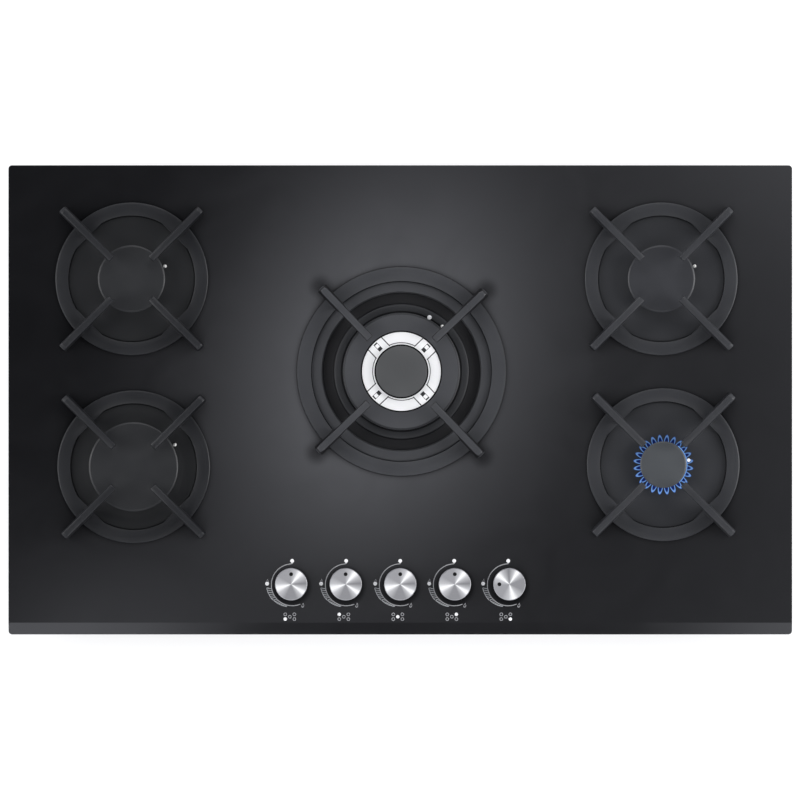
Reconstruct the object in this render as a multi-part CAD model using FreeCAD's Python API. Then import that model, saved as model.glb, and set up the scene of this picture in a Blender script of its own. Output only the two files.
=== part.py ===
import FreeCAD
import Part
import math
import os
from dataclasses import dataclass

# Built-in gas hob on glass. Millimetres, X to the right, Y to the rear, Z up.
# The origin is under the middle of the hob, on the underside of the base tray.

V = FreeCAD.Vector

# ---------------------------------------------------------------- glass, tray and seal
GLASS_LENGTH = 860.0
GLASS_WIDTH = 515.0
GLASS_THICKNESS = 8.0
GLASS_CORNER_R = 4.0
BEVEL_WIDTH = 13.0          # polished bevel along the front edge
BEVEL_DROP = 5.0
GLASS_OVERHANG = 25.0       # glass edge to the tray's wall
TRAY_DEPTH = 46.0           # underside of the tray to underside of the glass
TRAY_SHEET = 1.0
TRAY_FLANGE = 11.0
TRAY_CORNER_R = 12.0
SEAL_WIDTH = 8.0
SEAL_THICKNESS = 3.0
SEAL_INSET = 3.0            # glass edge to outer edge of the seal
VENT_LENGTH = 46.0
VENT_WIDTH = 5.0
VENT_PITCH = 16.0
VENT_COUNT = 4
VENT_END_INSET = 215.0      # tray's end wall to the middle of a slot
VENT_FRONT_INSET = 82.5     # tray's front wall to the first slot

# ---------------------------------------------------------------- clips to the worktop
CLIP_WIDTH = 22.0
CLIP_SHEET = 1.5
CLIP_LOW = 8.0              # height of the hook's underside over the tray's
CLIP_HIGH = 40.0
CLIP_REACH = 12.0
CLIP_LIP = 6.0
CLIP_END_INSET = 155.0      # tray's end wall to the middle of a clip

# ---------------------------------------------------------------- burners
REAR_LEFT_INSET = 135.3     # glass end to the burner's axis
FRONT_LEFT_INSET = 137.5
REAR_RIGHT_INSET = 143.7
FRONT_RIGHT_INSET = 141.5
REAR_ROW_Y = 132.8
FRONT_LEFT_Y = -73.3
FRONT_RIGHT_Y = -71.0
CENTRE_X = 1.3
CENTRE_Y = 31.2
SEMI_RAPID_CAP_R = 36.8
RAPID_CAP_R = 48.9
AUXILIARY_CAP_R = 25.5
WOK_CAP_R = 64.4
SMALL_HOLE_R = 58.0         # glass hole of a small burner
WOK_HOLE_R = 88.0
HOLE_PLAY = 1.5             # base plate to glass hole
DISH_SHEET = 3.0            # plate of a base inside the glass hole
DISH_RISE = 1.8             # floor of a dish over the glass
RING_GAP = 0.6              # dish rim to pan-support ring
NECK_R = 24.0
NECK_BORE_R = 10.0
NECK_BOTTOM = 28.0          # over the tray's underside
WOK_NECK_R = 32.0
WOK_TROUGH_OUT_R = 87.0
WOK_TROUGH_IN_R = 74.3
WOK_TROUGH_SINK = 4.0
WOK_STEP_R = 66.0
WOK_STEP_RISE = 1.2
WOK_SEAT_SINK = 1.0

CROWN_INSET = 1.0           # cap edge to crown wall
CROWN_TOP = 15.0            # over the glass
CROWN_WALL = 6.0
CROWN_FLOOR = 5.0
CROWN_BORE_R = 9.0
PORT_WIDTH = 2.0
PORT_DEPTH = 4.0
CAP_THICKNESS = 5.0
CAP_SLOPE = 2.0             # top edge of a cap inside its lower edge

WOK_RING_CAP_IN_R = 43.6
WOK_CROWN_TOP = 17.0
WOK_DECK_R = 43.2
WOK_DECK_TOP = 20.0
WOK_DECK_WALL = 3.8
WOK_INNER_CAP_R = 30.3
WOK_INNER_TOP = 24.0
WOK_INNER_WALL = 4.5
WOK_INNER_CAP_THICKNESS = 4.0
WOK_INNER_PORTS = 8
WOK_BRIDGE_SLOT = 4.0
WOK_BRIDGE_SLOT_LENGTH = 9.5

# ---------------------------------------------------------------- pan supports
PAN_HEIGHT = 40.0           # pan over the glass
PAD_THICKNESS = 1.5
PAD_LENGTH = 9.0
PAD_WIDTH = 6.0
PAD_SETBACK = 4.0           # outer end of the arm to the pad
RING_THICKNESS = 5.0
SMALL_RING_IN_R = 69.5
SMALL_RING_OUT_R = 83.9
SMALL_ARM_IN_R = 32.4
SMALL_ARM_OUT_R = 107.6
WOK_RING_IN_R = 99.2
WOK_RING_OUT_R = 115.2
WOK_ARM_IN_R = 48.2
WOK_ARM_OUT_R = 127.2
WOK_SUPPORT_TURN = -1.3
ARM_TOP_WIDTH = 6.6
ARM_FOOT_WIDTH = 10.4
FINGER_DEPTH = 9.0
ARM_BEND_R = 9.0
ARM_TIP = 3.2
ARM_LEG_SLOPE = 7.0         # leg's inner edge, ring to finger

# ---------------------------------------------------------------- taps and knobs
KNOB_PITCH = 59.8
KNOB_ROW_INSET = 30.5       # tray's front wall to the row of taps
KNOB_R = 17.6
KNOB_HEIGHT = 20.0
KNOB_GAP = 4.0              # under the knob, more than it travels
PUSH_TRAVEL = 3.0
SPINDLE_R = 4.0
SPINDLE_FLAT = 3.0          # axis to the flat of the D
SPINDLE_IN_KNOB = 14.0
RUNNING_PLAY = 0.06
TANG_SIDE = 4.6
TANG_LENGTH = 9.0
TANG_ENGAGED = 4.5
SOCKET_SPARE = 1.0          # under the tang when the knob is pushed right in
PLUG_R = 5.6
PLUG_HEIGHT = 16.0
TAP_BODY_X = 26.0
TAP_BODY_Y = 24.0
TAP_BODY_LOW = 8.0
TAP_BODY_HIGH = 36.0
TAP_NECK_SIDE = 13.0
TAP_NECK_HIGH = 44.0
TAP_FLOOR = 5.0
SHAFT_HOLE_R = 7.0
SHAFT_SEAL_PLAY = 0.3
SHAFT_SEAL_RISE = 0.4

# ---------------------------------------------------------------- gas train
GAS_Z = 20.0                # height of the manifold, pipes and inlet
MANIFOLD_R = 8.0
MANIFOLD_PLAY = 0.3
MANIFOLD_BEND_R = 24.0
MANIFOLD_OVERRUN = 22.0
PIPE_R = 4.0
PIPE_BEND_R = 14.0
INLET_BLOCK = 26.0
INLET_BLOCK_GAP = 4.0       # block to the tray's rear wall
INLET_END_GAP = 6.0         # block to the tray's end wall
INLET_PIN_R = 10.48
INLET_PIN_LENGTH = 16.0     # threaded end, outside the rear wall
INLET_NECK_R = 9.4          # behind the threaded end, through the wall
INLET_NECK_OUTSIDE = 1.5
INLET_HOLE_PLAY = 0.5
HOLDER_SIDE = 18.0
HOLDER_HEIGHT = 13.0
INJECTOR_R = 5.5
INJECTOR_RISE = 9.0
BRACKET_LENGTH = 92.0
BRACKET_WIDTH = 48.0
BRACKET_SHEET = 1.5
BRACKET_FOOT = 10.0
BRACKET_WINDOW = 14.0
CLAMP_SHEET = 2.0
CLAMP_WIDTH = 12.0

# ---------------------------------------------------------------- ignition and mains
ELECTRODE_R = 1.9
ELECTRODE_PLAY = 0.3
ELECTRODE_TOP = 13.0        # over the glass
ELECTRODE_SEAT = 18.0       # foot under the glass top
ELECTRODE_GAP = 0.5         # cap edge to the electrode
THERMO_R = 2.4
LEAD_R = 1.3
LEAD_PLAY = 0.2             # lead's end to the electrode
LEAD_Z = 38.0               # over the brackets and pipes, under the burner plates
LEAD_PITCH = 11.0           # terminals along the generator
LEAD_STANDOFF = 1.1         # generator's wall to the lead, along the lead
GENERATOR_LENGTH = 70.0
GENERATOR_WIDTH = 40.0
GENERATOR_HEIGHT = 40.0
GENERATOR_X = 140.0
GENERATOR_REAR_GAP = 6.5    # to the tray's rear wall
SWITCH_LENGTH = 12.0
SWITCH_WIDTH = 6.5
SWITCH_HEIGHT = 6.0
SWITCH_GAP = 0.2
TERMINAL_LENGTH = 44.0
TERMINAL_WIDTH = 26.0
TERMINAL_HEIGHT = 20.0
TERMINAL_END_GAP = 17.0     # to the tray's end wall
TERMINAL_REAR_GAP = 28.5
GLAND_R = 8.0
GLAND_BORE_R = 4.5
GLAND_LENGTH = 20.0
GLAND_INSIDE = 6.0

GLASS_BOTTOM = TRAY_DEPTH
GLASS_TOP = GLASS_BOTTOM + GLASS_THICKNESS
TRAY_LENGTH = GLASS_LENGTH - 2 * GLASS_OVERHANG
TRAY_WIDTH = GLASS_WIDTH - 2 * GLASS_OVERHANG
INNER_END = TRAY_LENGTH / 2 - TRAY_SHEET
INNER_REAR = TRAY_WIDTH / 2 - TRAY_SHEET
KNOB_ROW_Y = KNOB_ROW_INSET - TRAY_WIDTH / 2
INLET_X = INNER_END - INLET_END_GAP - INLET_BLOCK / 2
GENERATOR_Y = INNER_REAR - GENERATOR_REAR_GAP - GENERATOR_WIDTH / 2
TERMINAL_X = TERMINAL_END_GAP + TERMINAL_LENGTH / 2 - INNER_END
TERMINAL_Y = INNER_REAR - TERMINAL_REAR_GAP - TERMINAL_WIDTH / 2
OVERCUT = 1.0               # a cutter's run past the face that it opens


@dataclass(frozen=True)
class Burner:
    """One burner: where it stands, how wide its cap is and where its electrode stands."""
    name: str
    x: float
    y: float
    cap_r: float
    ports: int
    spark_deg: float
    bracket_along_x: bool = True


@dataclass(frozen=True)
class Tap:
    """One tap: its place in the row, the burner that it feeds and how far its knob stands turned."""
    place: int
    burner: Burner
    turned_deg: float = 0.0


GLASS_END = GLASS_LENGTH / 2
REAR_LEFT = Burner("rear_left", REAR_LEFT_INSET - GLASS_END, REAR_ROW_Y, SEMI_RAPID_CAP_R, 20, 21.0)
FRONT_LEFT = Burner("front_left", FRONT_LEFT_INSET - GLASS_END, FRONT_LEFT_Y, RAPID_CAP_R, 24, 28.0)
CENTRE = Burner("centre", CENTRE_X, CENTRE_Y, WOK_CAP_R, 28, 48.0, False)
REAR_RIGHT = Burner("rear_right", GLASS_END - REAR_RIGHT_INSET, REAR_ROW_Y, SEMI_RAPID_CAP_R, 20, 21.0)
FRONT_RIGHT = Burner("front_right", GLASS_END - FRONT_RIGHT_INSET, FRONT_RIGHT_Y, AUXILIARY_CAP_R, 26, 9.0)
SMALL_BURNERS = (REAR_LEFT, FRONT_LEFT, REAR_RIGHT, FRONT_RIGHT)
BURNERS = SMALL_BURNERS + (CENTRE,)
THERMO_DEG = 62.6
TAPS = (Tap(-2, FRONT_LEFT), Tap(-1, REAR_LEFT), Tap(0, CENTRE), Tap(1, REAR_RIGHT),
        Tap(2, FRONT_RIGHT, 90.0))


# ---------------------------------------------------------------- shapes used everywhere
def box(x0, x1, y0, y1, z0, z1):
    return Part.makeBox(x1 - x0, y1 - y0, z1 - z0, V(x0, y0, z0))


def cylinder(r, z0, z1, x=0.0, y=0.0):
    return Part.makeCylinder(r, z1 - z0, V(x, y, z0))


def turned(profile, x=0.0, y=0.0):
    """Solid of revolution about a vertical axis through x, y from (radius, height) corners."""
    corners = [V(r, 0, z) for r, z in profile]
    face = Part.Face(Part.makePolygon(corners + corners[:1]))
    solid = face.revolve(V(0, 0, 0), V(0, 0, 1), 360)
    solid.translate(V(x, y, 0))
    return solid


def prism(corners, along):
    """Straight prism of a closed outline, given as vectors, along a vector."""
    return Part.Face(Part.makePolygon(list(corners) + [corners[0]])).extrude(along)


def rounded_slab(length, width, corner_r, z0, z1):
    slab = box(-length / 2, length / 2, -width / 2, width / 2, z0, z1)
    upright = [e for e in slab.Edges if abs(e.tangentAt(e.FirstParameter).z) > 0.9]
    return slab.makeFillet(corner_r, upright)


def tube_run(points, radius, bend_r):
    """Round rod along straight runs that tangent arcs join, all at one height."""
    edges = []
    start = points[0]
    for before, corner, after in zip(points, points[1:], points[2:]):
        into = (corner - before).normalize()
        away = (after - corner).normalize()
        half_turn = into.getAngle(away) / 2
        setback = bend_r * math.tan(half_turn)
        arc_start = corner - into * setback
        arc_end = corner + away * setback
        inward = (away - into).normalize()
        arc_mid = corner + inward * (bend_r / math.cos(half_turn) - bend_r)
        edges.append(Part.LineSegment(start, arc_start).toShape())
        edges.append(Part.Arc(arc_start, arc_mid, arc_end).toShape())
        start = arc_end
    edges.append(Part.LineSegment(start, points[-1]).toShape())
    path = Part.Wire(edges)
    section = Part.Wire(Part.makeCircle(radius, points[0], points[1] - points[0]))
    return path.makePipeShell([section], True, False)


def fused(shapes):
    return shapes[0].fuse(shapes[1:]).removeSplitter()


def around(burner, radius, degrees):
    """Point at a radius and bearing from a burner's axis."""
    turn = math.radians(degrees)
    return burner.x + radius * math.cos(turn), burner.y + radius * math.sin(turn)


# ---------------------------------------------------------------- worktop, tray, seal, clips
def glass_worktop():
    glass = rounded_slab(GLASS_LENGTH, GLASS_WIDTH, GLASS_CORNER_R, GLASS_BOTTOM, GLASS_TOP)
    front = -GLASS_WIDTH / 2
    low = GLASS_TOP - BEVEL_DROP
    slope = BEVEL_DROP / BEVEL_WIDTH
    wedge = [
        V(-GLASS_LENGTH, front - BEVEL_WIDTH, low - BEVEL_WIDTH * slope),
        V(-GLASS_LENGTH, front + BEVEL_WIDTH, GLASS_TOP),
        V(-GLASS_LENGTH, front - BEVEL_WIDTH, GLASS_TOP + BEVEL_DROP),
    ]
    cuts = [prism(wedge, V(2 * GLASS_LENGTH, 0, 0))]
    for burner in BURNERS:
        cuts.append(cylinder(glass_hole_r(burner), GLASS_BOTTOM, GLASS_TOP, burner.x, burner.y))
    for tap in TAPS:
        cuts.append(cylinder(SHAFT_HOLE_R, GLASS_BOTTOM, GLASS_TOP, tap_x(tap), KNOB_ROW_Y))
    return glass.cut(cuts)


def glass_hole_r(burner):
    return WOK_HOLE_R if burner is CENTRE else SMALL_HOLE_R


def worktop_seal():
    length = GLASS_LENGTH - 2 * SEAL_INSET
    width = GLASS_WIDTH - 2 * SEAL_INSET
    low = GLASS_BOTTOM - SEAL_THICKNESS
    outer = box(-length / 2, length / 2, -width / 2, width / 2, low, GLASS_BOTTOM)
    half_x = length / 2 - SEAL_WIDTH
    half_y = width / 2 - SEAL_WIDTH
    return outer.cut(box(-half_x, half_x, -half_y, half_y, low, GLASS_BOTTOM))


def base_tray():
    inner_r = TRAY_CORNER_R - TRAY_SHEET
    shell = rounded_slab(TRAY_LENGTH, TRAY_WIDTH, TRAY_CORNER_R, 0, TRAY_DEPTH)
    flange = rounded_slab(TRAY_LENGTH + 2 * TRAY_FLANGE, TRAY_WIDTH + 2 * TRAY_FLANGE,
                          TRAY_CORNER_R, TRAY_DEPTH - TRAY_SHEET, TRAY_DEPTH)
    inside = rounded_slab(2 * INNER_END, 2 * INNER_REAR, inner_r, TRAY_SHEET, TRAY_DEPTH)
    cuts = [inside, rear_wall_hole(INLET_X, INLET_PIN_R + INLET_HOLE_PLAY),
            rear_wall_hole(TERMINAL_X, GLAND_R + RUNNING_PLAY)]
    cuts.extend(vent_slots())
    return shell.fuse(flange).removeSplitter().cut(cuts)


def rear_wall_hole(x, radius):
    rear = TRAY_WIDTH / 2
    return Part.makeCylinder(radius, 4 * TRAY_SHEET, V(x, rear - 2 * TRAY_SHEET, GAS_Z), V(0, 1, 0))


def vent_slots():
    slots = []
    for side in (-1, 1):
        for row in range(VENT_COUNT):
            x = side * (TRAY_LENGTH / 2 - VENT_END_INSET)
            y = VENT_FRONT_INSET - TRAY_WIDTH / 2 + row * VENT_PITCH
            slots.append(box(x - VENT_LENGTH / 2, x + VENT_LENGTH / 2, y, y + VENT_WIDTH, 0, TRAY_SHEET))
    return slots


def fixing_clips():
    wall = TRAY_WIDTH / 2
    clip_x = TRAY_LENGTH / 2 - CLIP_END_INSET
    outline = [
        (wall, CLIP_LOW), (wall + CLIP_REACH, CLIP_LOW), (wall + CLIP_REACH, CLIP_LOW + CLIP_LIP),
        (wall + CLIP_REACH - CLIP_SHEET, CLIP_LOW + CLIP_LIP),
        (wall + CLIP_REACH - CLIP_SHEET, CLIP_LOW + CLIP_SHEET),
        (wall + CLIP_SHEET, CLIP_LOW + CLIP_SHEET), (wall + CLIP_SHEET, CLIP_HIGH), (wall, CLIP_HIGH),
    ]
    clips = []
    for side in (-1, 1):
        for x in (-clip_x, clip_x):
            corners = [V(x - CLIP_WIDTH / 2, side * y, z) for y, z in outline]
            clips.append(prism(corners, V(CLIP_WIDTH, 0, 0)))
    return Part.makeCompound(clips)


# ---------------------------------------------------------------- burner castings
def small_base(burner):
    """Dish on the glass with a neck through the glass hole, and the gas way up its middle."""
    rim_r = SMALL_RING_IN_R - RING_GAP
    floor = GLASS_TOP + DISH_RISE
    plate_r = SMALL_HOLE_R - HOLE_PLAY
    plate_low = GLASS_TOP - DISH_SHEET
    profile = [
        (NECK_BORE_R, NECK_BOTTOM), (NECK_R, NECK_BOTTOM), (NECK_R, plate_low), (plate_r, plate_low),
        (plate_r, GLASS_TOP), (rim_r, GLASS_TOP), (rim_r, floor), (NECK_BORE_R, floor),
    ]
    hole_x, hole_y = around(burner, electrode_ring_r(burner), burner.spark_deg)
    hole = cylinder(ELECTRODE_R + ELECTRODE_PLAY, plate_low, floor, hole_x, hole_y)
    return turned(profile, burner.x, burner.y).cut(hole)


def wok_base():
    rim_r = WOK_RING_IN_R - RING_GAP
    trough = GLASS_TOP - WOK_TROUGH_SINK
    plate_low = trough - DISH_SHEET
    plate_r = WOK_HOLE_R - HOLE_PLAY
    seat = GLASS_TOP - WOK_SEAT_SINK
    profile = [
        (NECK_BORE_R, NECK_BOTTOM), (WOK_NECK_R, NECK_BOTTOM), (WOK_NECK_R, plate_low), (plate_r, plate_low),
        (plate_r, GLASS_TOP), (rim_r, GLASS_TOP), (rim_r, GLASS_TOP + DISH_RISE),
        (WOK_TROUGH_OUT_R, GLASS_TOP + DISH_RISE), (WOK_TROUGH_OUT_R, trough), (WOK_TROUGH_IN_R, trough),
        (WOK_TROUGH_IN_R, GLASS_TOP + WOK_STEP_RISE), (WOK_STEP_R, GLASS_TOP + WOK_STEP_RISE),
        (WOK_STEP_R, seat), (NECK_BORE_R, seat),
    ]
    base = turned(profile, CENTRE.x, CENTRE.y)
    holes = []
    for degrees, radius in ((CENTRE.spark_deg, ELECTRODE_R), (THERMO_DEG, THERMO_R)):
        x, y = around(CENTRE, electrode_ring_r(CENTRE), degrees)
        holes.append(cylinder(radius + ELECTRODE_PLAY, plate_low, GLASS_TOP + DISH_RISE, x, y))
    return base.cut(holes)


def burner_bases():
    return Part.makeCompound([small_base(burner) for burner in SMALL_BURNERS] + [wok_base()])


def radial_slots(count, inner_r, outer_r, top):
    """Ports of a crown: straight slots across its wall, open at the top."""
    slots = []
    for index in range(count):
        slot = box(inner_r - OVERCUT, outer_r + OVERCUT, -PORT_WIDTH / 2, PORT_WIDTH / 2,
                   top - PORT_DEPTH, top + OVERCUT)
        slot.rotate(V(0, 0, 0), V(0, 0, 1), (index + 0.5) * 360.0 / count)
        slots.append(slot)
    return slots


def small_crown(burner):
    outer_r = burner.cap_r - CROWN_INSET
    inner_r = outer_r - CROWN_WALL
    low = GLASS_TOP + DISH_RISE
    top = GLASS_TOP + CROWN_TOP
    profile = [
        (CROWN_BORE_R, low), (outer_r, low), (outer_r, top), (inner_r, top),
        (inner_r, low + CROWN_FLOOR), (CROWN_BORE_R, low + CROWN_FLOOR),
    ]
    crown = turned(profile).cut(radial_slots(burner.ports, inner_r, outer_r, top))
    crown.translate(V(burner.x, burner.y, 0))
    return crown


def wok_crown():
    """Crown with an outer flame ring, a raised deck and an inner flame ring on the deck."""
    outer_r = CENTRE.cap_r - CROWN_INSET
    chamber_r = outer_r - CROWN_WALL
    low = GLASS_TOP - WOK_SEAT_SINK
    top = GLASS_TOP + WOK_CROWN_TOP
    deck = GLASS_TOP + WOK_DECK_TOP
    inner_top = GLASS_TOP + WOK_INNER_TOP
    inner_r = WOK_INNER_CAP_R - CROWN_INSET
    seat_r = WOK_DECK_R + WOK_DECK_WALL
    profile = [
        (CROWN_BORE_R, low), (outer_r, low), (outer_r, top), (chamber_r, top),
        (chamber_r, low + CROWN_FLOOR), (seat_r, low + CROWN_FLOOR), (seat_r, top), (WOK_DECK_R, top),
        (WOK_DECK_R, deck), (inner_r, deck), (inner_r, inner_top), (inner_r - WOK_INNER_WALL, inner_top),
        (inner_r - WOK_INNER_WALL, low + CROWN_FLOOR), (CROWN_BORE_R, low + CROWN_FLOOR),
    ]
    cuts = radial_slots(CENTRE.ports, chamber_r, outer_r, top)
    cuts += radial_slots(WOK_INNER_PORTS, inner_r - WOK_INNER_WALL, inner_r, inner_top)
    cuts += [turned_on_deck(bridge_slot(deck), quarter) for quarter in range(4)]
    crown = turned(profile).cut(cuts)
    crown.translate(V(CENTRE.x, CENTRE.y, 0))
    return crown


def bridge_slot(deck):
    """Slot across the deck that carries the flame from the inner ring to the outer one."""
    middle = (WOK_DECK_R + WOK_INNER_CAP_R) / 2
    half = WOK_BRIDGE_SLOT_LENGTH / 2
    return box(middle - half, middle + half, -WOK_BRIDGE_SLOT / 2, WOK_BRIDGE_SLOT / 2,
               deck - PORT_DEPTH, deck + OVERCUT)


def turned_on_deck(shape, quarter):
    shape.rotate(V(0, 0, 0), V(0, 0, 1), 45 + 90 * quarter + WOK_SUPPORT_TURN)
    return shape


def flame_crowns():
    return Part.makeCompound([small_crown(burner) for burner in SMALL_BURNERS] + [wok_crown()])


def burner_cap(burner):
    low = GLASS_TOP + CROWN_TOP
    return disc_cap(burner, burner.cap_r, low, CAP_THICKNESS)


def disc_cap(burner, radius, low, thickness):
    profile = [(0, low), (radius, low), (radius - CAP_SLOPE, low + thickness), (0, low + thickness)]
    return turned(profile, burner.x, burner.y)


def wok_ring_cap():
    low = GLASS_TOP + WOK_CROWN_TOP
    top = low + CAP_THICKNESS
    profile = [
        (WOK_RING_CAP_IN_R, low), (CENTRE.cap_r, low), (CENTRE.cap_r - CAP_SLOPE, top),
        (WOK_RING_CAP_IN_R, top),
    ]
    return turned(profile, CENTRE.x, CENTRE.y)


def wok_inner_cap():
    return disc_cap(CENTRE, WOK_INNER_CAP_R, GLASS_TOP + WOK_INNER_TOP, WOK_INNER_CAP_THICKNESS)


# ---------------------------------------------------------------- pan supports
def support_arm(inner_r, outer_r, ring_in_r):
    """Finger over the burner that bends down to a leg on the ring, with drafted sides."""
    foot = GLASS_TOP + PAD_THICKNESS
    top = GLASS_TOP + PAN_HEIGHT
    finger_low = top - FINGER_DEPTH
    knee_r = ring_in_r - ARM_LEG_SLOPE
    corner = V(knee_r, 0, finger_low)
    into = V(1, 0, 0)
    leg = V(ring_in_r - knee_r, 0, foot - finger_low).normalize()
    half_turn = into.getAngle(leg) / 2
    setback = ARM_BEND_R * math.tan(half_turn)
    bend_start = corner - into * setback
    bend_end = corner + leg * setback
    bend_mid = corner + (leg - into).normalize() * (ARM_BEND_R / math.cos(half_turn) - ARM_BEND_R)
    stations = [bend_end, V(ring_in_r, 0, foot), V(outer_r, 0, foot), V(outer_r, 0, top - ARM_TIP),
                V(outer_r - ARM_TIP, 0, top), V(inner_r, 0, top), V(inner_r, 0, finger_low), bend_start]
    edges = [Part.Arc(bend_start, bend_mid, bend_end).toShape()]
    edges += [Part.LineSegment(a, b).toShape() for a, b in zip(stations, stations[1:])]
    side = Part.Face(Part.Wire(edges)).extrude(V(0, 2 * ARM_FOOT_WIDTH, 0))
    side.translate(V(0, -ARM_FOOT_WIDTH, 0))
    draft = prism([V(0, -ARM_FOOT_WIDTH / 2, foot), V(0, ARM_FOOT_WIDTH / 2, foot),
                   V(0, ARM_TOP_WIDTH / 2, top), V(0, -ARM_TOP_WIDTH / 2, top)], V(2 * outer_r, 0, 0))
    return side.common(draft)


def support_sizes(burner):
    if burner is CENTRE:
        return WOK_ARM_IN_R, WOK_ARM_OUT_R, WOK_RING_IN_R, WOK_RING_OUT_R, WOK_SUPPORT_TURN
    return SMALL_ARM_IN_R, SMALL_ARM_OUT_R, SMALL_RING_IN_R, SMALL_RING_OUT_R, 0.0


def pan_support(burner):
    arm_in_r, arm_out_r, ring_in_r, ring_out_r, turn = support_sizes(burner)
    low = GLASS_TOP + PAD_THICKNESS
    high = low + RING_THICKNESS
    parts = [turned([(ring_in_r, low), (ring_out_r, low), (ring_out_r, high), (ring_in_r, high)])]
    for quarter in range(4):
        arm = support_arm(arm_in_r, arm_out_r, ring_in_r)
        arm.rotate(V(0, 0, 0), V(0, 0, 1), 45 + 90 * quarter + turn)
        parts.append(arm)
    support = fused(parts)
    support.translate(V(burner.x, burner.y, 0))
    return support


def support_pads(burner):
    outer_r, turn = support_sizes(burner)[1], support_sizes(burner)[4]
    far = outer_r - PAD_SETBACK
    pads = []
    for quarter in range(4):
        pad = box(far - PAD_LENGTH, far, -PAD_WIDTH / 2, PAD_WIDTH / 2, GLASS_TOP, GLASS_TOP + PAD_THICKNESS)
        pad.rotate(V(0, 0, 0), V(0, 0, 1), 45 + 90 * quarter + turn)
        pad.translate(V(burner.x, burner.y, 0))
        pads.append(pad)
    return Part.makeCompound(pads)


# ---------------------------------------------------------------- taps and knobs
def tap_x(tap):
    return tap.place * KNOB_PITCH


def set_in_tap(shape, tap):
    shape.rotate(V(0, 0, 0), V(0, 0, 1), tap.turned_deg)
    shape.translate(V(tap_x(tap), KNOB_ROW_Y, 0))
    return shape


def plug_low():
    return TAP_BODY_LOW + TAP_FLOOR


def plug_high():
    return plug_low() + PLUG_HEIGHT


def tang_low():
    return plug_high() - TANG_ENGAGED


def tap_bodies():
    """Tap castings with the seat of the plug and the way of the spindle over it."""
    bodies = []
    for tap in TAPS:
        x = tap_x(tap)
        casting = box(x - TAP_BODY_X / 2, x + TAP_BODY_X / 2, KNOB_ROW_Y - TAP_BODY_Y / 2,
                      KNOB_ROW_Y + TAP_BODY_Y / 2, TAP_BODY_LOW, TAP_BODY_HIGH)
        neck = box(x - TAP_NECK_SIDE / 2, x + TAP_NECK_SIDE / 2, KNOB_ROW_Y - TAP_NECK_SIDE / 2,
                   KNOB_ROW_Y + TAP_NECK_SIDE / 2, TAP_BODY_HIGH, TAP_NECK_HIGH)
        seat = cylinder(PLUG_R + RUNNING_PLAY, plug_low() - RUNNING_PLAY, plug_high() + RUNNING_PLAY,
                        x, KNOB_ROW_Y)
        way = cylinder(SPINDLE_R + RUNNING_PLAY, plug_high(), TAP_NECK_HIGH, x, KNOB_ROW_Y)
        bodies.append(casting.fuse(neck).removeSplitter().cut([seat, way]))
    return Part.makeCompound(bodies)


def tap_plug(tap):
    half = TANG_SIDE / 2 + RUNNING_PLAY
    socket = box(-half, half, -half, half, tang_low() - PUSH_TRAVEL - SOCKET_SPARE, plug_high())
    plug = cylinder(PLUG_R, plug_low(), plug_high()).cut(socket)
    return set_in_tap(plug, tap)


def tap_spindle(tap):
    """Round spindle with a flat for the knob and a square tang that slides in the plug."""
    half = TANG_SIDE / 2
    shoulder = tang_low() + TANG_LENGTH
    top = GLASS_TOP + KNOB_GAP + SPINDLE_IN_KNOB
    shaft = cylinder(SPINDLE_R, shoulder, top)
    flat = box(-SPINDLE_R, SPINDLE_R, SPINDLE_FLAT, SPINDLE_R, GLASS_TOP + KNOB_GAP, top)
    spindle = shaft.cut(flat).fuse(box(-half, half, -half, half, tang_low(), shoulder)).removeSplitter()
    return set_in_tap(spindle, tap)


def knob(tap):
    low = GLASS_TOP + KNOB_GAP
    high = low + KNOB_HEIGHT
    body = cylinder(KNOB_R, low, high)
    way = cylinder(SPINDLE_R + RUNNING_PLAY, low, low + SPINDLE_IN_KNOB + RUNNING_PLAY)
    flat = box(-KNOB_R, KNOB_R, SPINDLE_FLAT + RUNNING_PLAY, KNOB_R, low, high)
    body = body.cut(way.cut(flat))
    return set_in_tap(body, tap)


def shaft_seals():
    seals = []
    inner_r = SPINDLE_R + SHAFT_SEAL_PLAY
    for tap in TAPS:
        seal = cylinder(SHAFT_HOLE_R, GLASS_BOTTOM, GLASS_TOP + SHAFT_SEAL_RISE, tap_x(tap), KNOB_ROW_Y)
        way = cylinder(inner_r, GLASS_BOTTOM, GLASS_TOP + SHAFT_SEAL_RISE, tap_x(tap), KNOB_ROW_Y)
        seals.append(seal.cut(way))
    return Part.makeCompound(seals)


# ---------------------------------------------------------------- gas train
def manifold_y():
    return KNOB_ROW_Y - TAP_BODY_Y / 2 - MANIFOLD_PLAY - MANIFOLD_R


def inlet_block_front():
    return INNER_REAR - INLET_BLOCK_GAP - INLET_BLOCK


def gas_manifold():
    left = -2 * KNOB_PITCH - MANIFOLD_OVERRUN
    points = [V(left, manifold_y(), GAS_Z), V(INLET_X, manifold_y(), GAS_Z),
              V(INLET_X, inlet_block_front(), GAS_Z)]
    return tube_run(points, MANIFOLD_R, MANIFOLD_BEND_R)


def gas_inlet_elbow():
    half = INLET_BLOCK / 2
    front = inlet_block_front()
    block = box(INLET_X - half, INLET_X + half, front, front + INLET_BLOCK,
                GAS_Z - half, GAS_Z + half)
    rear = front + INLET_BLOCK
    neck_length = INLET_BLOCK_GAP + TRAY_SHEET + INLET_NECK_OUTSIDE
    neck = Part.makeCylinder(INLET_NECK_R, neck_length, V(INLET_X, rear, GAS_Z), V(0, 1, 0))
    pin = Part.makeCylinder(INLET_PIN_R, INLET_PIN_LENGTH, V(INLET_X, rear + neck_length, GAS_Z), V(0, 1, 0))
    return fused([block, neck, pin])


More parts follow.
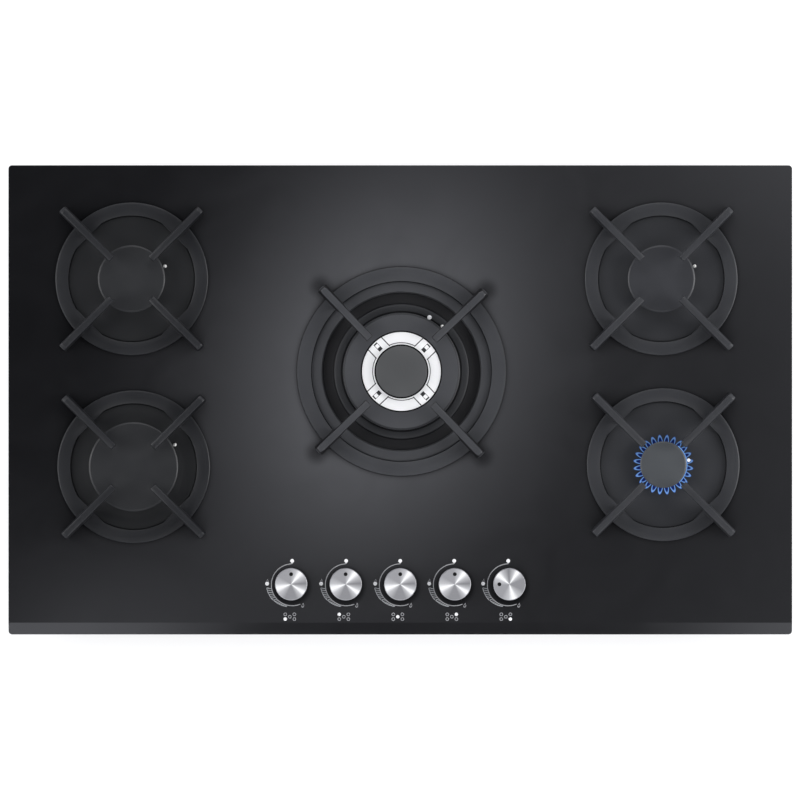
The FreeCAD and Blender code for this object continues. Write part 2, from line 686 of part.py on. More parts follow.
def tap_clamps():
    """Steel straps that pull each tap on to the manifold."""
    clamps = []
    front = manifold_y() - MANIFOLD_R
    for tap in TAPS:
        x = tap_x(tap)
        for low in (GAS_Z - MANIFOLD_R - CLAMP_SHEET, GAS_Z + MANIFOLD_R):
            clamps.append(box(x - CLAMP_WIDTH / 2, x + CLAMP_WIDTH / 2, front,
                              KNOB_ROW_Y - TAP_BODY_Y / 2, low, low + CLAMP_SHEET))
    return Part.makeCompound(clamps)


def gas_pipes():
    """One pipe from the rear of each tap to the jet holder of its burner."""
    pipes = []
    start_y = KNOB_ROW_Y + TAP_BODY_Y / 2
    for tap in TAPS:
        burner = tap.burner
        x = tap_x(tap)
        if burner is CENTRE:
            length = burner.y - HOLDER_SIDE / 2 - start_y
            pipe = Part.makeCylinder(PIPE_R, length, V(x, start_y, GAS_Z), V(0, 1, 0))
        else:
            side = math.copysign(HOLDER_SIDE / 2, burner.x)
            points = [V(x, start_y, GAS_Z), V(x, burner.y, GAS_Z), V(burner.x - side, burner.y, GAS_Z)]
            pipe = tube_run(points, PIPE_R, PIPE_BEND_R)
        pipes.append(pipe)
    return Part.makeCompound(pipes)


def bracket_top_low():
    return NECK_BOTTOM - BRACKET_SHEET


def jet_holders():
    holders = []
    half = HOLDER_SIDE / 2
    for burner in BURNERS:
        holders.append(box(burner.x - half, burner.x + half, burner.y - half, burner.y + half,
                           bracket_top_low() - HOLDER_HEIGHT, bracket_top_low()))
    return Part.makeCompound(holders)


def injectors():
    """Hexagonal brass jets that stand in the burners' necks."""
    jets = []
    low = bracket_top_low()
    for burner in BURNERS:
        corners = []
        for index in range(6):
            x, y = around(burner, INJECTOR_R, 60 * index)
            corners.append(V(x, y, low))
        jets.append(prism(corners, V(0, 0, INJECTOR_RISE)))
    return Part.makeCompound(jets)


def burner_brackets():
    """Pressed steel bridges on the tray's floor, each with a window for its jet."""
    brackets = []
    half_w = BRACKET_WIDTH / 2
    inner = half_w - BRACKET_SHEET
    outline = [
        (-half_w - BRACKET_FOOT, TRAY_SHEET), (-inner, TRAY_SHEET), (-inner, bracket_top_low()),
        (inner, bracket_top_low()), (inner, TRAY_SHEET), (half_w + BRACKET_FOOT, TRAY_SHEET),
        (half_w + BRACKET_FOOT, TRAY_SHEET + BRACKET_SHEET), (half_w, TRAY_SHEET + BRACKET_SHEET),
        (half_w, NECK_BOTTOM), (-half_w, NECK_BOTTOM), (-half_w, TRAY_SHEET + BRACKET_SHEET),
        (-half_w - BRACKET_FOOT, TRAY_SHEET + BRACKET_SHEET),
    ]
    window = BRACKET_WINDOW / 2
    for burner in BURNERS:
        bridge = prism([V(-BRACKET_LENGTH / 2, y, z) for y, z in outline], V(BRACKET_LENGTH, 0, 0))
        bridge = bridge.cut(box(-window, window, -window, window, bracket_top_low(), NECK_BOTTOM))
        if not burner.bracket_along_x:
            bridge.rotate(V(0, 0, 0), V(0, 0, 1), 90)
        bridge.translate(V(burner.x, burner.y, 0))
        brackets.append(bridge)
    return Part.makeCompound(brackets)


# ---------------------------------------------------------------- ignition and mains
def electrode_ring_r(burner):
    return burner.cap_r + ELECTRODE_GAP + ELECTRODE_R


def spark_electrodes():
    rods = []
    for burner in BURNERS:
        x, y = around(burner, electrode_ring_r(burner), burner.spark_deg)
        rods.append(cylinder(ELECTRODE_R, GLASS_TOP - ELECTRODE_SEAT, GLASS_TOP + ELECTRODE_TOP, x, y))
    return Part.makeCompound(rods)


def lead_starts():
    """Terminals of the spark generator: two on its left, two in front and one on its right."""
    left = GENERATOR_X - GENERATOR_LENGTH / 2
    right = GENERATOR_X + GENERATOR_LENGTH / 2
    front = GENERATOR_Y - GENERATOR_WIDTH / 2
    return {
        REAR_LEFT: V(left, GENERATOR_Y + LEAD_PITCH, LEAD_Z),
        FRONT_LEFT: V(left, GENERATOR_Y, LEAD_Z),
        CENTRE: V(left + LEAD_PITCH, front, LEAD_Z),
        FRONT_RIGHT: V(right - LEAD_PITCH, front, LEAD_Z),
        REAR_RIGHT: V(right, GENERATOR_Y + LEAD_PITCH, LEAD_Z),
    }


def ignition_leads():
    """High-tension leads, drawn tight from the generator to the foot of each electrode."""
    leads = []
    for burner, terminal in lead_starts().items():
        foot_x, foot_y = around(burner, electrode_ring_r(burner), burner.spark_deg)
        way = V(foot_x, foot_y, LEAD_Z) - terminal
        start = terminal + way.normalize() * LEAD_STANDOFF
        reach = V(foot_x, foot_y, LEAD_Z).distanceToPoint(start) - ELECTRODE_R - LEAD_PLAY
        leads.append(Part.makeCylinder(LEAD_R, reach, start, way))
    return Part.makeCompound(leads)


def thermocouple():
    x, y = around(CENTRE, electrode_ring_r(CENTRE), THERMO_DEG)
    return cylinder(THERMO_R, GLASS_TOP - ELECTRODE_SEAT, GLASS_TOP + ELECTRODE_TOP, x, y)


def spark_generator():
    return box(GENERATOR_X - GENERATOR_LENGTH / 2, GENERATOR_X + GENERATOR_LENGTH / 2,
               GENERATOR_Y - GENERATOR_WIDTH / 2, GENERATOR_Y + GENERATOR_WIDTH / 2,
               TRAY_SHEET, TRAY_SHEET + GENERATOR_HEIGHT)


def ignition_switches():
    """Small switches on top of the taps, beside the spindles, that fire the spark."""
    switches = []
    low_y = KNOB_ROW_Y + TAP_NECK_SIDE / 2 + SWITCH_GAP
    for tap in TAPS:
        x = tap_x(tap)
        switches.append(box(x - SWITCH_LENGTH / 2, x + SWITCH_LENGTH / 2, low_y, low_y + SWITCH_WIDTH,
                            TAP_BODY_HIGH, TAP_BODY_HIGH + SWITCH_HEIGHT))
    return Part.makeCompound(switches)


def terminal_block():
    return box(TERMINAL_X - TERMINAL_LENGTH / 2, TERMINAL_X + TERMINAL_LENGTH / 2,
               TERMINAL_Y - TERMINAL_WIDTH / 2, TERMINAL_Y + TERMINAL_WIDTH / 2,
               TRAY_SHEET, TRAY_SHEET + TERMINAL_HEIGHT)


def cable_gland():
    start = V(TERMINAL_X, INNER_REAR - GLAND_INSIDE, GAS_Z)
    shell = Part.makeCylinder(GLAND_R, GLAND_LENGTH, start, V(0, 1, 0))
    return shell.cut(Part.makeCylinder(GLAND_BORE_R, GLAND_LENGTH, start, V(0, 1, 0)))


def main():
    nodes = {
        "glass_worktop": glass_worktop(),
        "worktop_seal": worktop_seal(),
        "base_tray": base_tray(),
        "fixing_clips": fixing_clips(),
        "burner_bases": burner_bases(),
        "flame_crowns": flame_crowns(),
        "gas_manifold": gas_manifold(),
        "gas_inlet_elbow": gas_inlet_elbow(),
        "gas_pipes": gas_pipes(),
        "jet_holders": jet_holders(),
        "injectors": injectors(),
        "burner_brackets": burner_brackets(),
        "tap_bodies": tap_bodies(),
        "tap_clamps": tap_clamps(),
        "shaft_seals": shaft_seals(),
        "spark_electrodes": spark_electrodes(),
        "thermocouple": thermocouple(),
        "ignition_leads": ignition_leads(),
        "spark_generator": spark_generator(),
        "ignition_switches": ignition_switches(),
        "terminal_block": terminal_block(),
        "cable_gland": cable_gland(),
        "wok_ring_cap": wok_ring_cap(),
        "wok_inner_cap": wok_inner_cap(),
    }
    for burner in BURNERS:
        nodes["pan_support_" + burner.name] = pan_support(burner)
        nodes["support_pads_" + burner.name] = support_pads(burner)
    for burner in SMALL_BURNERS:
        nodes["burner_cap_" + burner.name] = burner_cap(burner)
    for tap in TAPS:
        nodes["knob_" + tap.burner.name] = knob(tap)
        nodes["tap_spindle_" + tap.burner.name] = tap_spindle(tap)
        nodes["tap_plug_" + tap.burner.name] = tap_plug(tap)
    os.makedirs("parts", exist_ok=True)
    for name, shape in nodes.items():
        shape.exportStep("parts/" + name + ".step")


main()
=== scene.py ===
"""Looks of a built-in gas hob on black glass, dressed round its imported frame.

Sizes are written in millimetres and turned to metres by MM where a mesh is made.
"""

import logging
import math
from dataclasses import dataclass
from enum import Enum
from functools import lru_cache
from typing import Any, Callable, Sequence

import bmesh
import bpy
from mathutils import Matrix, Vector


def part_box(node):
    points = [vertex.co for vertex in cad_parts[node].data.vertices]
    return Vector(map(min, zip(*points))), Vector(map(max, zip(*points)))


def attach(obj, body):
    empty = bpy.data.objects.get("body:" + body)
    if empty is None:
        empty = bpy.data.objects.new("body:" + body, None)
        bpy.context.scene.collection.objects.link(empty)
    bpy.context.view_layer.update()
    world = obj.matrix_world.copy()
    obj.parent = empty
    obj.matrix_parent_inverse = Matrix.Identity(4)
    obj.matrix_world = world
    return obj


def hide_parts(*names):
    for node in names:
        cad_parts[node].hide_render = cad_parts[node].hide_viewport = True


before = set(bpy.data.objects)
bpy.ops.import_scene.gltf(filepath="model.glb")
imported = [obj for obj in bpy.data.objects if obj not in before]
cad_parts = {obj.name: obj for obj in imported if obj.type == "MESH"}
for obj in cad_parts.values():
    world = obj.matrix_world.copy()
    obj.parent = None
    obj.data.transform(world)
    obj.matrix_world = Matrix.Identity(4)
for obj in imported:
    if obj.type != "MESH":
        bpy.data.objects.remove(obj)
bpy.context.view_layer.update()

MM = 0.001
SMOOTH_ANGLE = math.radians(32.0)
MERGE_DISTANCE = 0.004    # millimetres between corners that count as one
LEVEL_REACH = 0.002       # millimetres between heights that count as one
INK_LIFT = 0.01           # millimetres between the glass and its print
LOG = logging.getLogger("hob")

Corner = tuple[float, float]
Test = Callable[[Vector, Vector], bool]
Node = bpy.types.Node
Object = bpy.types.Object
Material = bpy.types.Material
Socket = bpy.types.NodeSocket


# ================================================================ places read from the frame
@dataclass(frozen=True)
class Place:
    """Where a CAD node stands: its axis and its reach, in millimetres."""

    x: float
    y: float
    low: float
    high: float
    half_x: float
    half_y: float

    @staticmethod
    @lru_cache(maxsize=None)
    def of(node: str) -> "Place":
        """Reads a node's box.

        Args:
            node: Name of the CAD node.

        Returns:
            The node's place.
        """
        low, high = (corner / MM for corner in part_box(node))
        middle = (low + high) / 2
        return Place(middle.x, middle.y, low.z, high.z, (high.x - low.x) / 2, (high.y - low.y) / 2)


GLASS_TOP = Place.of("glass_worktop").high
FIRST_ARM = 45.0          # bearing of a support's first arm
QUARTER = 90.0            # from arm to arm
WOK_TURN = -1.3           # the wok burner and its support stand a little turned


class Pick(Enum):
    """What an edit-mode selection is made of."""

    VERTS = "VERT"
    EDGES = "EDGE"
    FACES = "FACE"


class BurnerKind(Enum):
    """The four small burners, by place."""

    REAR_LEFT = "rear_left"
    FRONT_LEFT = "front_left"
    REAR_RIGHT = "rear_right"
    FRONT_RIGHT = "front_right"

    @property
    def side(self) -> "Side":
        """Side of the hob that the burner is on."""
        return Side.LEFT if "left" in self.value else Side.RIGHT


class Side(Enum):
    """Parts of the hob whose enamel is painted lighter or darker, as more or less light falls on them."""

    LEFT = "left"
    RIGHT = "right"
    CENTRE = "centre"


# Light and second shade of each side's enamel, dishes and castings: painted light, lit and shaded copies of one black,
# lighter on the right and at the centre than on the left.
ENAMEL_PAINTED_LIGHT = {Side.LEFT: ("#232426", "#1F2022"), Side.RIGHT: ("#303135", "#2C2D30"),
                 Side.CENTRE: ("#414245", "#3D3E41")}
DISH_PAINTED_LIGHT = {Side.LEFT: ("#1D1E20", "#191A1C"), Side.RIGHT: ("#313235", "#2D2E31")}
IRON_PAINTED_LIGHT = {Side.LEFT: ("#1F2023", "#1A1B1E"), Side.RIGHT: ("#333437", "#2E2F32"),
               Side.CENTRE: ("#3D3E41", "#38393C")}


# ================================================================ hand tools
def activate(obj: Object) -> None:
    """Deselects everything and makes one object the selected, active one.

    Args:
        obj: The object.
    """
    bpy.ops.object.select_all(action="DESELECT")
    obj.select_set(True)
    bpy.context.view_layer.objects.active = obj


def open_edit(obj: Object) -> None:
    """Opens an object in edit mode with nothing selected.

    Args:
        obj: The object.
    """
    activate(obj)
    bpy.ops.object.mode_set(mode="EDIT")
    bpy.ops.mesh.select_all(action="DESELECT")


def close_edit() -> None:
    """Goes back to object mode."""
    bpy.ops.object.mode_set(mode="OBJECT")


def pick(kind: Pick, test: Test) -> int:
    """Selects the verts, edges or faces that pass a test, and nothing else.

    Args:
        kind: What to select.
        test: Takes an element's middle, in millimetres, and its normal.

    Returns:
        How many were selected.
    """
    bpy.ops.mesh.select_mode(type=kind.value)
    bpy.ops.mesh.select_all(action="DESELECT")
    data = bpy.context.edit_object.data
    mesh = bmesh.from_edit_mesh(data)
    chosen = 0
    if kind is Pick.FACES:
        found = [(face, face.calc_center_median(), face.normal) for face in mesh.faces]
    elif kind is Pick.EDGES:
        found = [(edge, (edge.verts[0].co + edge.verts[1].co) / 2, edge.verts[0].normal) for edge in mesh.edges]
    else:
        found = [(vert, vert.co, vert.normal) for vert in mesh.verts]
    for item, middle, normal in found:
        if test(middle / MM, normal):
            item.select_set(True)
            chosen += 1
    bmesh.update_edit_mesh(data)
    return chosen


def named(obj: Object, name: str) -> Object:
    """Names an object and its mesh alike.

    Args:
        obj: The object.
        name: Its new name.

    Returns:
        The same object.
    """
    obj.name = name
    obj.data.name = name
    return obj


def draw(name: str, points: Sequence[Vector]) -> Object:
    """Draws a line of vertices by extruding one vertex from point to point, and leaves it open in edit mode.

    Args:
        name: The new object's name.
        points: Points of the line, in millimetres.

    Returns:
        The object, in edit mode.
    """
    bpy.ops.object.select_all(action="DESELECT")
    bpy.ops.mesh.primitive_plane_add(size=MM)
    obj = named(bpy.context.object, name)
    bpy.ops.object.mode_set(mode="EDIT")
    bpy.ops.mesh.select_mode(type="VERT")
    bpy.ops.mesh.select_all(action="SELECT")
    bpy.ops.mesh.merge(type="CENTER")
    bpy.ops.mesh.select_all(action="SELECT")
    bpy.ops.transform.translate(value=points[0] * MM)
    for before, after in zip(points, points[1:]):
        bpy.ops.mesh.extrude_vertices_move(TRANSFORM_OT_translate={"value": (after - before) * MM})
    return obj


def seal_mesh() -> None:
    """Merges doubles and turns every face outwards, in edit mode."""
    bpy.ops.mesh.select_all(action="SELECT")
    bpy.ops.mesh.remove_doubles(threshold=MERGE_DISTANCE * MM)
    bpy.ops.mesh.normals_make_consistent(inside=False)


def spun(name: str, profile: Sequence[Corner], x: float, y: float, steps: int = 96) -> Object:
    """Turns a closed profile about a vertical axis, as on a lathe.

    Args:
        name: The new object's name.
        profile: Corners as radius and height, in millimetres; a ring's profile is closed by its first corner.
        x: Axis, in millimetres.
        y: Axis, in millimetres.
        steps: Facets round the axis.

    Returns:
        The turned solid, in object mode.
    """
    corners = [Vector((x + radius, y, height)) for radius, height in profile]
    if min(radius for radius, _ in profile) > 0:
        corners.append(corners[0])
    obj = draw(name, corners)
    bpy.ops.mesh.select_all(action="SELECT")
    bpy.ops.mesh.spin(steps=steps, angle=2 * math.pi, center=(x * MM, y * MM, 0.0), axis=(0.0, 0.0, 1.0))
    seal_mesh()
    close_edit()
    return obj


def slab(name: str, outline: Sequence[Vector], along: Vector) -> Object:
    """Fills a flat outline and extrudes it straight.

    Args:
        name: The new object's name.
        outline: Corners of the outline, in millimetres.
        along: The extrusion, in millimetres.

    Returns:
        The prism, in object mode.
    """
    obj = draw(name, outline)
    bpy.ops.mesh.select_all(action="SELECT")
    bpy.ops.mesh.edge_face_add()
    bpy.ops.mesh.extrude_region_move(TRANSFORM_OT_translate={"value": along * MM})
    seal_mesh()
    close_edit()
    return obj


def block(name: str, middle: Sequence[float], size: Sequence[float]) -> Object:
    """Adds a cuboid at its place and size, with its place in its mesh.

    Args:
        name: The new object's name.
        middle: Middle of the cuboid, in millimetres.
        size: Its three sizes, in millimetres.

    Returns:
        The cuboid, in object mode.
    """
    bpy.ops.object.select_all(action="DESELECT")
    bpy.ops.mesh.primitive_cube_add(size=1.0, location=Vector(middle) * MM, scale=Vector(size) * MM)
    bpy.ops.object.transform_apply(location=True, rotation=True, scale=True)
    return named(bpy.context.object, name)


def bevel(obj: Object, width: float, segments: int = 2, angle: float = 30.0) -> Object:
    """Rounds every edge sharper than an angle with a bevel modifier, and applies it.

    Args:
        obj: The object.
        width: Width of the bevel, in millimetres.
        segments: Steps across the bevel.
        angle: Least angle between faces, in degrees.

    Returns:
        The same object.
    """
    activate(obj)
    modifier = obj.modifiers.new("edge_round", "BEVEL")
    modifier.width = width * MM
    modifier.segments = segments
    modifier.limit_method = "ANGLE"
    modifier.angle_limit = math.radians(angle)
    modifier.use_clamp_overlap = True
    bpy.ops.object.modifier_apply(modifier=modifier.name)
    return obj


def boolean(obj: Object, other: Object, operation: str) -> Object:
    """Joins or cuts an object with another one, which is then removed.

    Args:
        obj: The object that stays.
        other: The object that is joined on or cut away.
        operation: UNION or DIFFERENCE.

    Returns:
        The object that stays.
    """
    activate(obj)
    modifier = obj.modifiers.new("solid_join", "BOOLEAN")
    modifier.object = other
    modifier.operation = operation
    modifier.solver = "EXACT"
    bpy.ops.object.modifier_apply(modifier=modifier.name)
    bpy.data.objects.remove(other)
    return obj


def smooth(obj: Object) -> Object:
    """Shades an object smooth, apart from its sharp edges.

    Args:
        obj: The object.

    Returns:
        The same object.
    """
    activate(obj)
    bpy.ops.object.shade_smooth_by_angle(angle=SMOOTH_ANGLE)
    return obj


def copied(obj: Object, name: str, move: Matrix) -> Object:
    """Copies an object with a mesh of its own.

    Args:
        obj: The object to copy.
        name: The copy's name.
        move: Matrix that goes into the copy's mesh.

    Returns:
        The copy.
    """
    activate(obj)
    bpy.ops.object.duplicate()
    twin = named(bpy.context.object, name)
    twin.data.transform(move)
    return twin


def joined(name: str, parts: Sequence[Object]) -> Object:
    """Joins objects into the first one, and names it.

    Args:
        name: Name of the joined object.
        parts: The objects.

    Returns:
        The joined object.
    """
    activate(parts[0])
    for part in parts[1:]:
        part.select_set(True)
    bpy.ops.object.join()
    return named(bpy.context.object, name)


def turn_about(x: float, y: float, degrees: float) -> Matrix:
    """Matrix that turns about a vertical axis through a point in millimetres."""
    centre = Vector((x, y, 0.0)) * MM
    return Matrix.Translation(centre) @ Matrix.Rotation(math.radians(degrees), 4, "Z") @ Matrix.Translation(-centre)


def shift(x: float, y: float, z: float = 0.0) -> Matrix:
    """Matrix that moves by millimetres."""
    return Matrix.Translation(Vector((x, y, z)) * MM)


def arc_points(x: float, y: float, radius: float, start: float, end: float, steps: int) -> list[Vector]:
    """Lists points along an arc in a plane.

    Args:
        x: Centre, in millimetres.
        y: Centre, in millimetres.
        radius: Radius, in millimetres.
        start: First bearing, in degrees.
        end: Last bearing, in degrees.
        steps: Steps from the first point to the last.

    Returns:
        The points, one more than the steps.
    """
    points = []
    for step in range(steps + 1):
        turn = math.radians(start + (end - start) * step / steps)
        points.append(Vector((x + radius * math.cos(turn), y + radius * math.sin(turn), 0.0)))
    return points


def turned_profile(low: float, high: float, radius: float, edge: Sequence[Corner],
                   foot: Sequence[Corner] = ((0.0, 0.0),)) -> list[Corner]:
    """Lists the profile of a round solid with worked edges.

    Args:
        low: Height of its foot, in millimetres.
        high: Height of its top.
        radius: Its radius.
        edge: Corners of the upper edge, each as inset and drop from the sharp one.
        foot: Corners of the lower edge, each as inset and rise.

    Returns:
        The profile, from the middle of the foot to the middle of the top.
    """
    return [(0.0, low), *((radius - inset, low + rise) for inset, rise in foot),
            *((radius - inset, high - drop) for inset, drop in edge), (0.0, high)]


def finish_piece(obj: Object, body: str, material: Material, replaces: Sequence[str] = ()) -> Object:
    """Gives a piece its material, its body and the nodes that it stands for.

    Args:
        obj: The finished piece.
        body: Body that it rides on.
        material: Its material.
        replaces: CAD nodes that it replaces.

    Returns:
        The same piece.
    """
    obj.data.materials.clear()
    obj.data.materials.append(material)
    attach(obj, body)
    if replaces:
        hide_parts(*replaces)
    LOG.info("piece %s on %s", obj.name, body)
    return obj


def dress_faces(obj: Object, material: Material, test: Test) -> None:
    """Gives a further material to the faces that pass a test.

    Args:
        obj: The piece.
        material: The further material.
        test: Takes a face's middle, in millimetres, and its normal.
    """
    obj.data.materials.append(material)
    last = len(obj.data.materials) - 1
    for face in obj.data.polygons:
        if test(face.center / MM, face.normal):
            face.material_index = last


# ================================================================ colours and nodes
def linear(hex_colour: str) -> tuple[float, float, float, float]:
    """Turns an sRGB hex colour to a linear one.

    Args:
        hex_colour: The colour, with its leading hash.

    Returns:
        Linear red, green, blue and alpha.
    """
    channels = []
    for start in (1, 3, 5):
        value = int(hex_colour[start:start + 2], 16) / 255
        channels.append(value / 12.92 if value <= 0.04045 else ((value + 0.055) / 1.055) ** 2.4)
    return channels[0], channels[1], channels[2], 1.0


def add_node(tree: bpy.types.NodeTree, kind: str, settings: dict[str, Any] | None = None,
             links: dict[Any, Any] | None = None) -> Node:
    """Adds a shader node with its settings and incoming links.

    Args:
        tree: The node tree.
        kind: Type name of the node.
        settings: Attributes, or default values of input sockets by name.
        links: Output sockets by the name or number of the input that each feeds.

    Returns:
        The node.
    """
    node = tree.nodes.new(kind)
    for key, value in (settings or {}).items():
        if isinstance(key, str) and hasattr(node, key):
            setattr(node, key, value)
        else:
            node.inputs[key].default_value = value
    for key, source in (links or {}).items():
        tree.links.new(source, node.inputs[key])
    return node


def maths(tree: bpy.types.NodeTree, operation: str, *values: Any) -> Socket:
    """Adds a maths node.

    Args:
        tree: The node tree.
        operation: What it works out.
        values: Its inputs in order, each a number or an output socket.

    Returns:
        Its output socket.
    """
    numbers = {index: value for index, value in enumerate(values) if isinstance(value, float)}
    sockets = {index: value for index, value in enumerate(values) if not isinstance(value, float)}
    return add_node(tree, "ShaderNodeMath", {"operation": operation, **numbers}, sockets).outputs["Value"]


def ranged(tree: bpy.types.NodeTree, value: Socket, taken: Corner = (0.0, 1.0), given: Corner = (0.0, 1.0),
           smoothly: bool = False) -> Socket:
    """Adds a node that maps one range to another, and holds at both ends.

    Args:
        tree: The node tree.
        value: Output socket of the value.
        taken: Start and end of the range taken in.
        given: Start and end of the range given out.
        smoothly: Whether it starts and ends softly.

    Returns:
        Its output socket.
    """
    ends = {"From Min": taken[0], "From Max": taken[1], "To Min": given[0], "To Max": given[1]}
    steps = {"interpolation_type": "SMOOTHSTEP" if smoothly else "LINEAR"}
    return add_node(tree, "ShaderNodeMapRange", {**steps, **ends}, {"Value": value}).outputs["Result"]


def noise(tree: bpy.types.NodeTree, place: Socket, size: float, detail: float, distortion: float = 0.0) -> Socket:
    """Adds a noise texture.

    Args:
        tree: The node tree.
        place: Output socket of the place.
        size: Size of its grain, in millimetres.
        detail: How many finer layers it has.
        distortion: How far it is warped.

    Returns:
        Its output socket.
    """
    return add_node(tree, "ShaderNodeTexNoise", {"Scale": 1 / (size * MM), "Detail": detail, "Distortion": distortion},
                    {"Vector": place}).outputs["Fac"]


def new_tree(name: str) -> tuple[Material, bpy.types.NodeTree]:
    """Makes an empty node material.

    Args:
        name: The material's name.

    Returns:
        The material and its node tree.
    """
    material = bpy.data.materials.new(name)
    material.use_nodes = True
    material.node_tree.nodes.clear()
    return material, material.node_tree


def graded(tree: bpy.types.NodeTree, value: Socket, stops: Sequence[tuple[float, Any]],
           interpolation: str = "LINEAR") -> Socket:
    """Adds a colour ramp.

    Args:
        tree: The node tree.
        value: Output socket of the position along it.
        stops: Position of each stop, with its grey level or its hex colour.
        interpolation: How the ramp goes from stop to stop.

    Returns:
        Its output socket.
    """
    node = add_node(tree, "ShaderNodeValToRGB", None, {"Fac": value})
    ramp = node.color_ramp
    ramp.interpolation = interpolation
    while len(ramp.elements) > 1:
        ramp.elements.remove(ramp.elements[-1])
    for index, (position, value) in enumerate(stops):
        element = ramp.elements[0] if index == 0 else ramp.elements.new(position)
        element.position = position
        element.color = linear(value) if isinstance(value, str) else (value, value, value, 1.0)
    return node.outputs["Color"]


def shown(tree: bpy.types.NodeTree, shader: Socket) -> None:
    """Makes a shader the one that the material shows.

    Args:
        tree: The material's node tree.
        shader: Output socket of the shader.
    """
    add_node(tree, "ShaderNodeOutputMaterial", None, {"Surface": shader})


# ================================================================ finishes
@dataclass(frozen=True)
class Surface:
    """A plain finish with a fine grain: two close shades, a roughness that wanders and a small relief."""

    name: str
    shade: str
    second_shade: str
    metallic: float = 0.0
    roughness: float = 0.5
    spread: float = 0.06
    grain: float = 0.8
    relief: float = 0.02
    patch: float = 24.0
    stretch: tuple[float, float, float] = (1.0, 1.0, 1.0)
    coat: float = 0.0
    gloss: float = 0.5
    near_shade: float = 0.0
    near_reach: float = 16.0
    near_open: float = 0.4
    mottle: Corner = (0.6, 1.4)
    relief_strength: float = 0.6

    def material(self) -> Material:
        """Builds the material from noise at the grain's size and at the size of its patches.

        Returns:
            The material.
        """
        material, tree = new_tree(self.name)
        place = add_node(tree, "ShaderNodeTexCoord")
        scaled = add_node(tree, "ShaderNodeMapping", {"Scale": self.stretch}, {"Vector": place.outputs["Object"]})
        grain = noise(tree, scaled.outputs["Vector"], self.grain, 3.0)
        patches = noise(tree, scaled.outputs["Vector"], self.patch, 2.0)
        level = ranged(tree, maths(tree, "ADD", grain, patches), self.mottle)
        base = graded(tree, level, [(0.0, self.second_shade), (1.0, self.shade)])
        # Painted shade: the colour darkens where the occlusion node finds something close.
        if self.near_shade:
            near = add_node(tree, "ShaderNodeAmbientOcclusion", {"samples": 8, "Distance": self.near_reach * MM})
            share = ranged(tree, near.outputs["AO"], (self.near_open, 1.0), (1.0 - self.near_shade, 1.0))
            base = add_node(tree, "ShaderNodeVectorMath", {"operation": "SCALE"},
                            {0: base, "Scale": share}).outputs["Vector"]
        rough = ranged(tree, level, given=(self.roughness - self.spread, self.roughness + self.spread))
        bump = add_node(tree, "ShaderNodeBump", {"Strength": self.relief_strength, "Distance": self.relief * MM},
                        {"Height": grain})
        shader = add_node(tree, "ShaderNodeBsdfPrincipled",
                          {"Metallic": self.metallic, "Coat Weight": self.coat, "Coat Roughness": 0.2,
                           "Specular IOR Level": self.gloss},
                          {"Base Color": base, "Roughness": rough, "Normal": bump.outputs["Normal"]})
        shown(tree, shader.outputs["BSDF"])
        return material


@dataclass(frozen=True)
class Enamel(Surface):
    """Vitreous enamel, black glass frit fused on metal: a faint orange peel under a soft gloss."""

    grain: float = 0.9
    relief: float = 0.012


@dataclass(frozen=True)
class Ink(Surface):
    """Screen-printed ceramic ink, fired on the glass: chalky and a hair thick."""

    roughness: float = 0.6
    spread: float = 0.05
    grain: float = 0.3
    relief: float = 0.005


@dataclass(frozen=True)
class ContactShade:
    """Painted shadow: a soft dark spot on the glass close to something that stands on it, in millimetres."""

    x: float
    y: float
    near: float
    far: float
    depth: float


ARM_END_REACH = 129.0     # from the wok burner's axis to the ends of the large support's arms
KNOB_SHADE_DROP = 3.0     # from a knob's axis towards the front, where its painted shadow lies


def contact_shades() -> list[ContactShade]:
    """Lists the painted shadow spots: one at the end of each arm of the large support and one under each knob.

    Returns:
        The spots.
    """
    ring = Place.of("wok_ring_cap")
    spots = []
    for quarter in range(4):
        turn = math.radians(FIRST_ARM + QUARTER * quarter + WOK_TURN)
        spots.append(ContactShade(ring.x + ARM_END_REACH * math.cos(turn), ring.y + ARM_END_REACH * math.sin(turn),
                                  near=3.0, far=17.0, depth=0.55))
    for burner in SIGN_OF:
        knob = Place.of("knob_" + burner)
        spots.append(ContactShade(knob.x, knob.y - KNOB_SHADE_DROP, near=17.0, far=24.5, depth=0.6))
    return spots


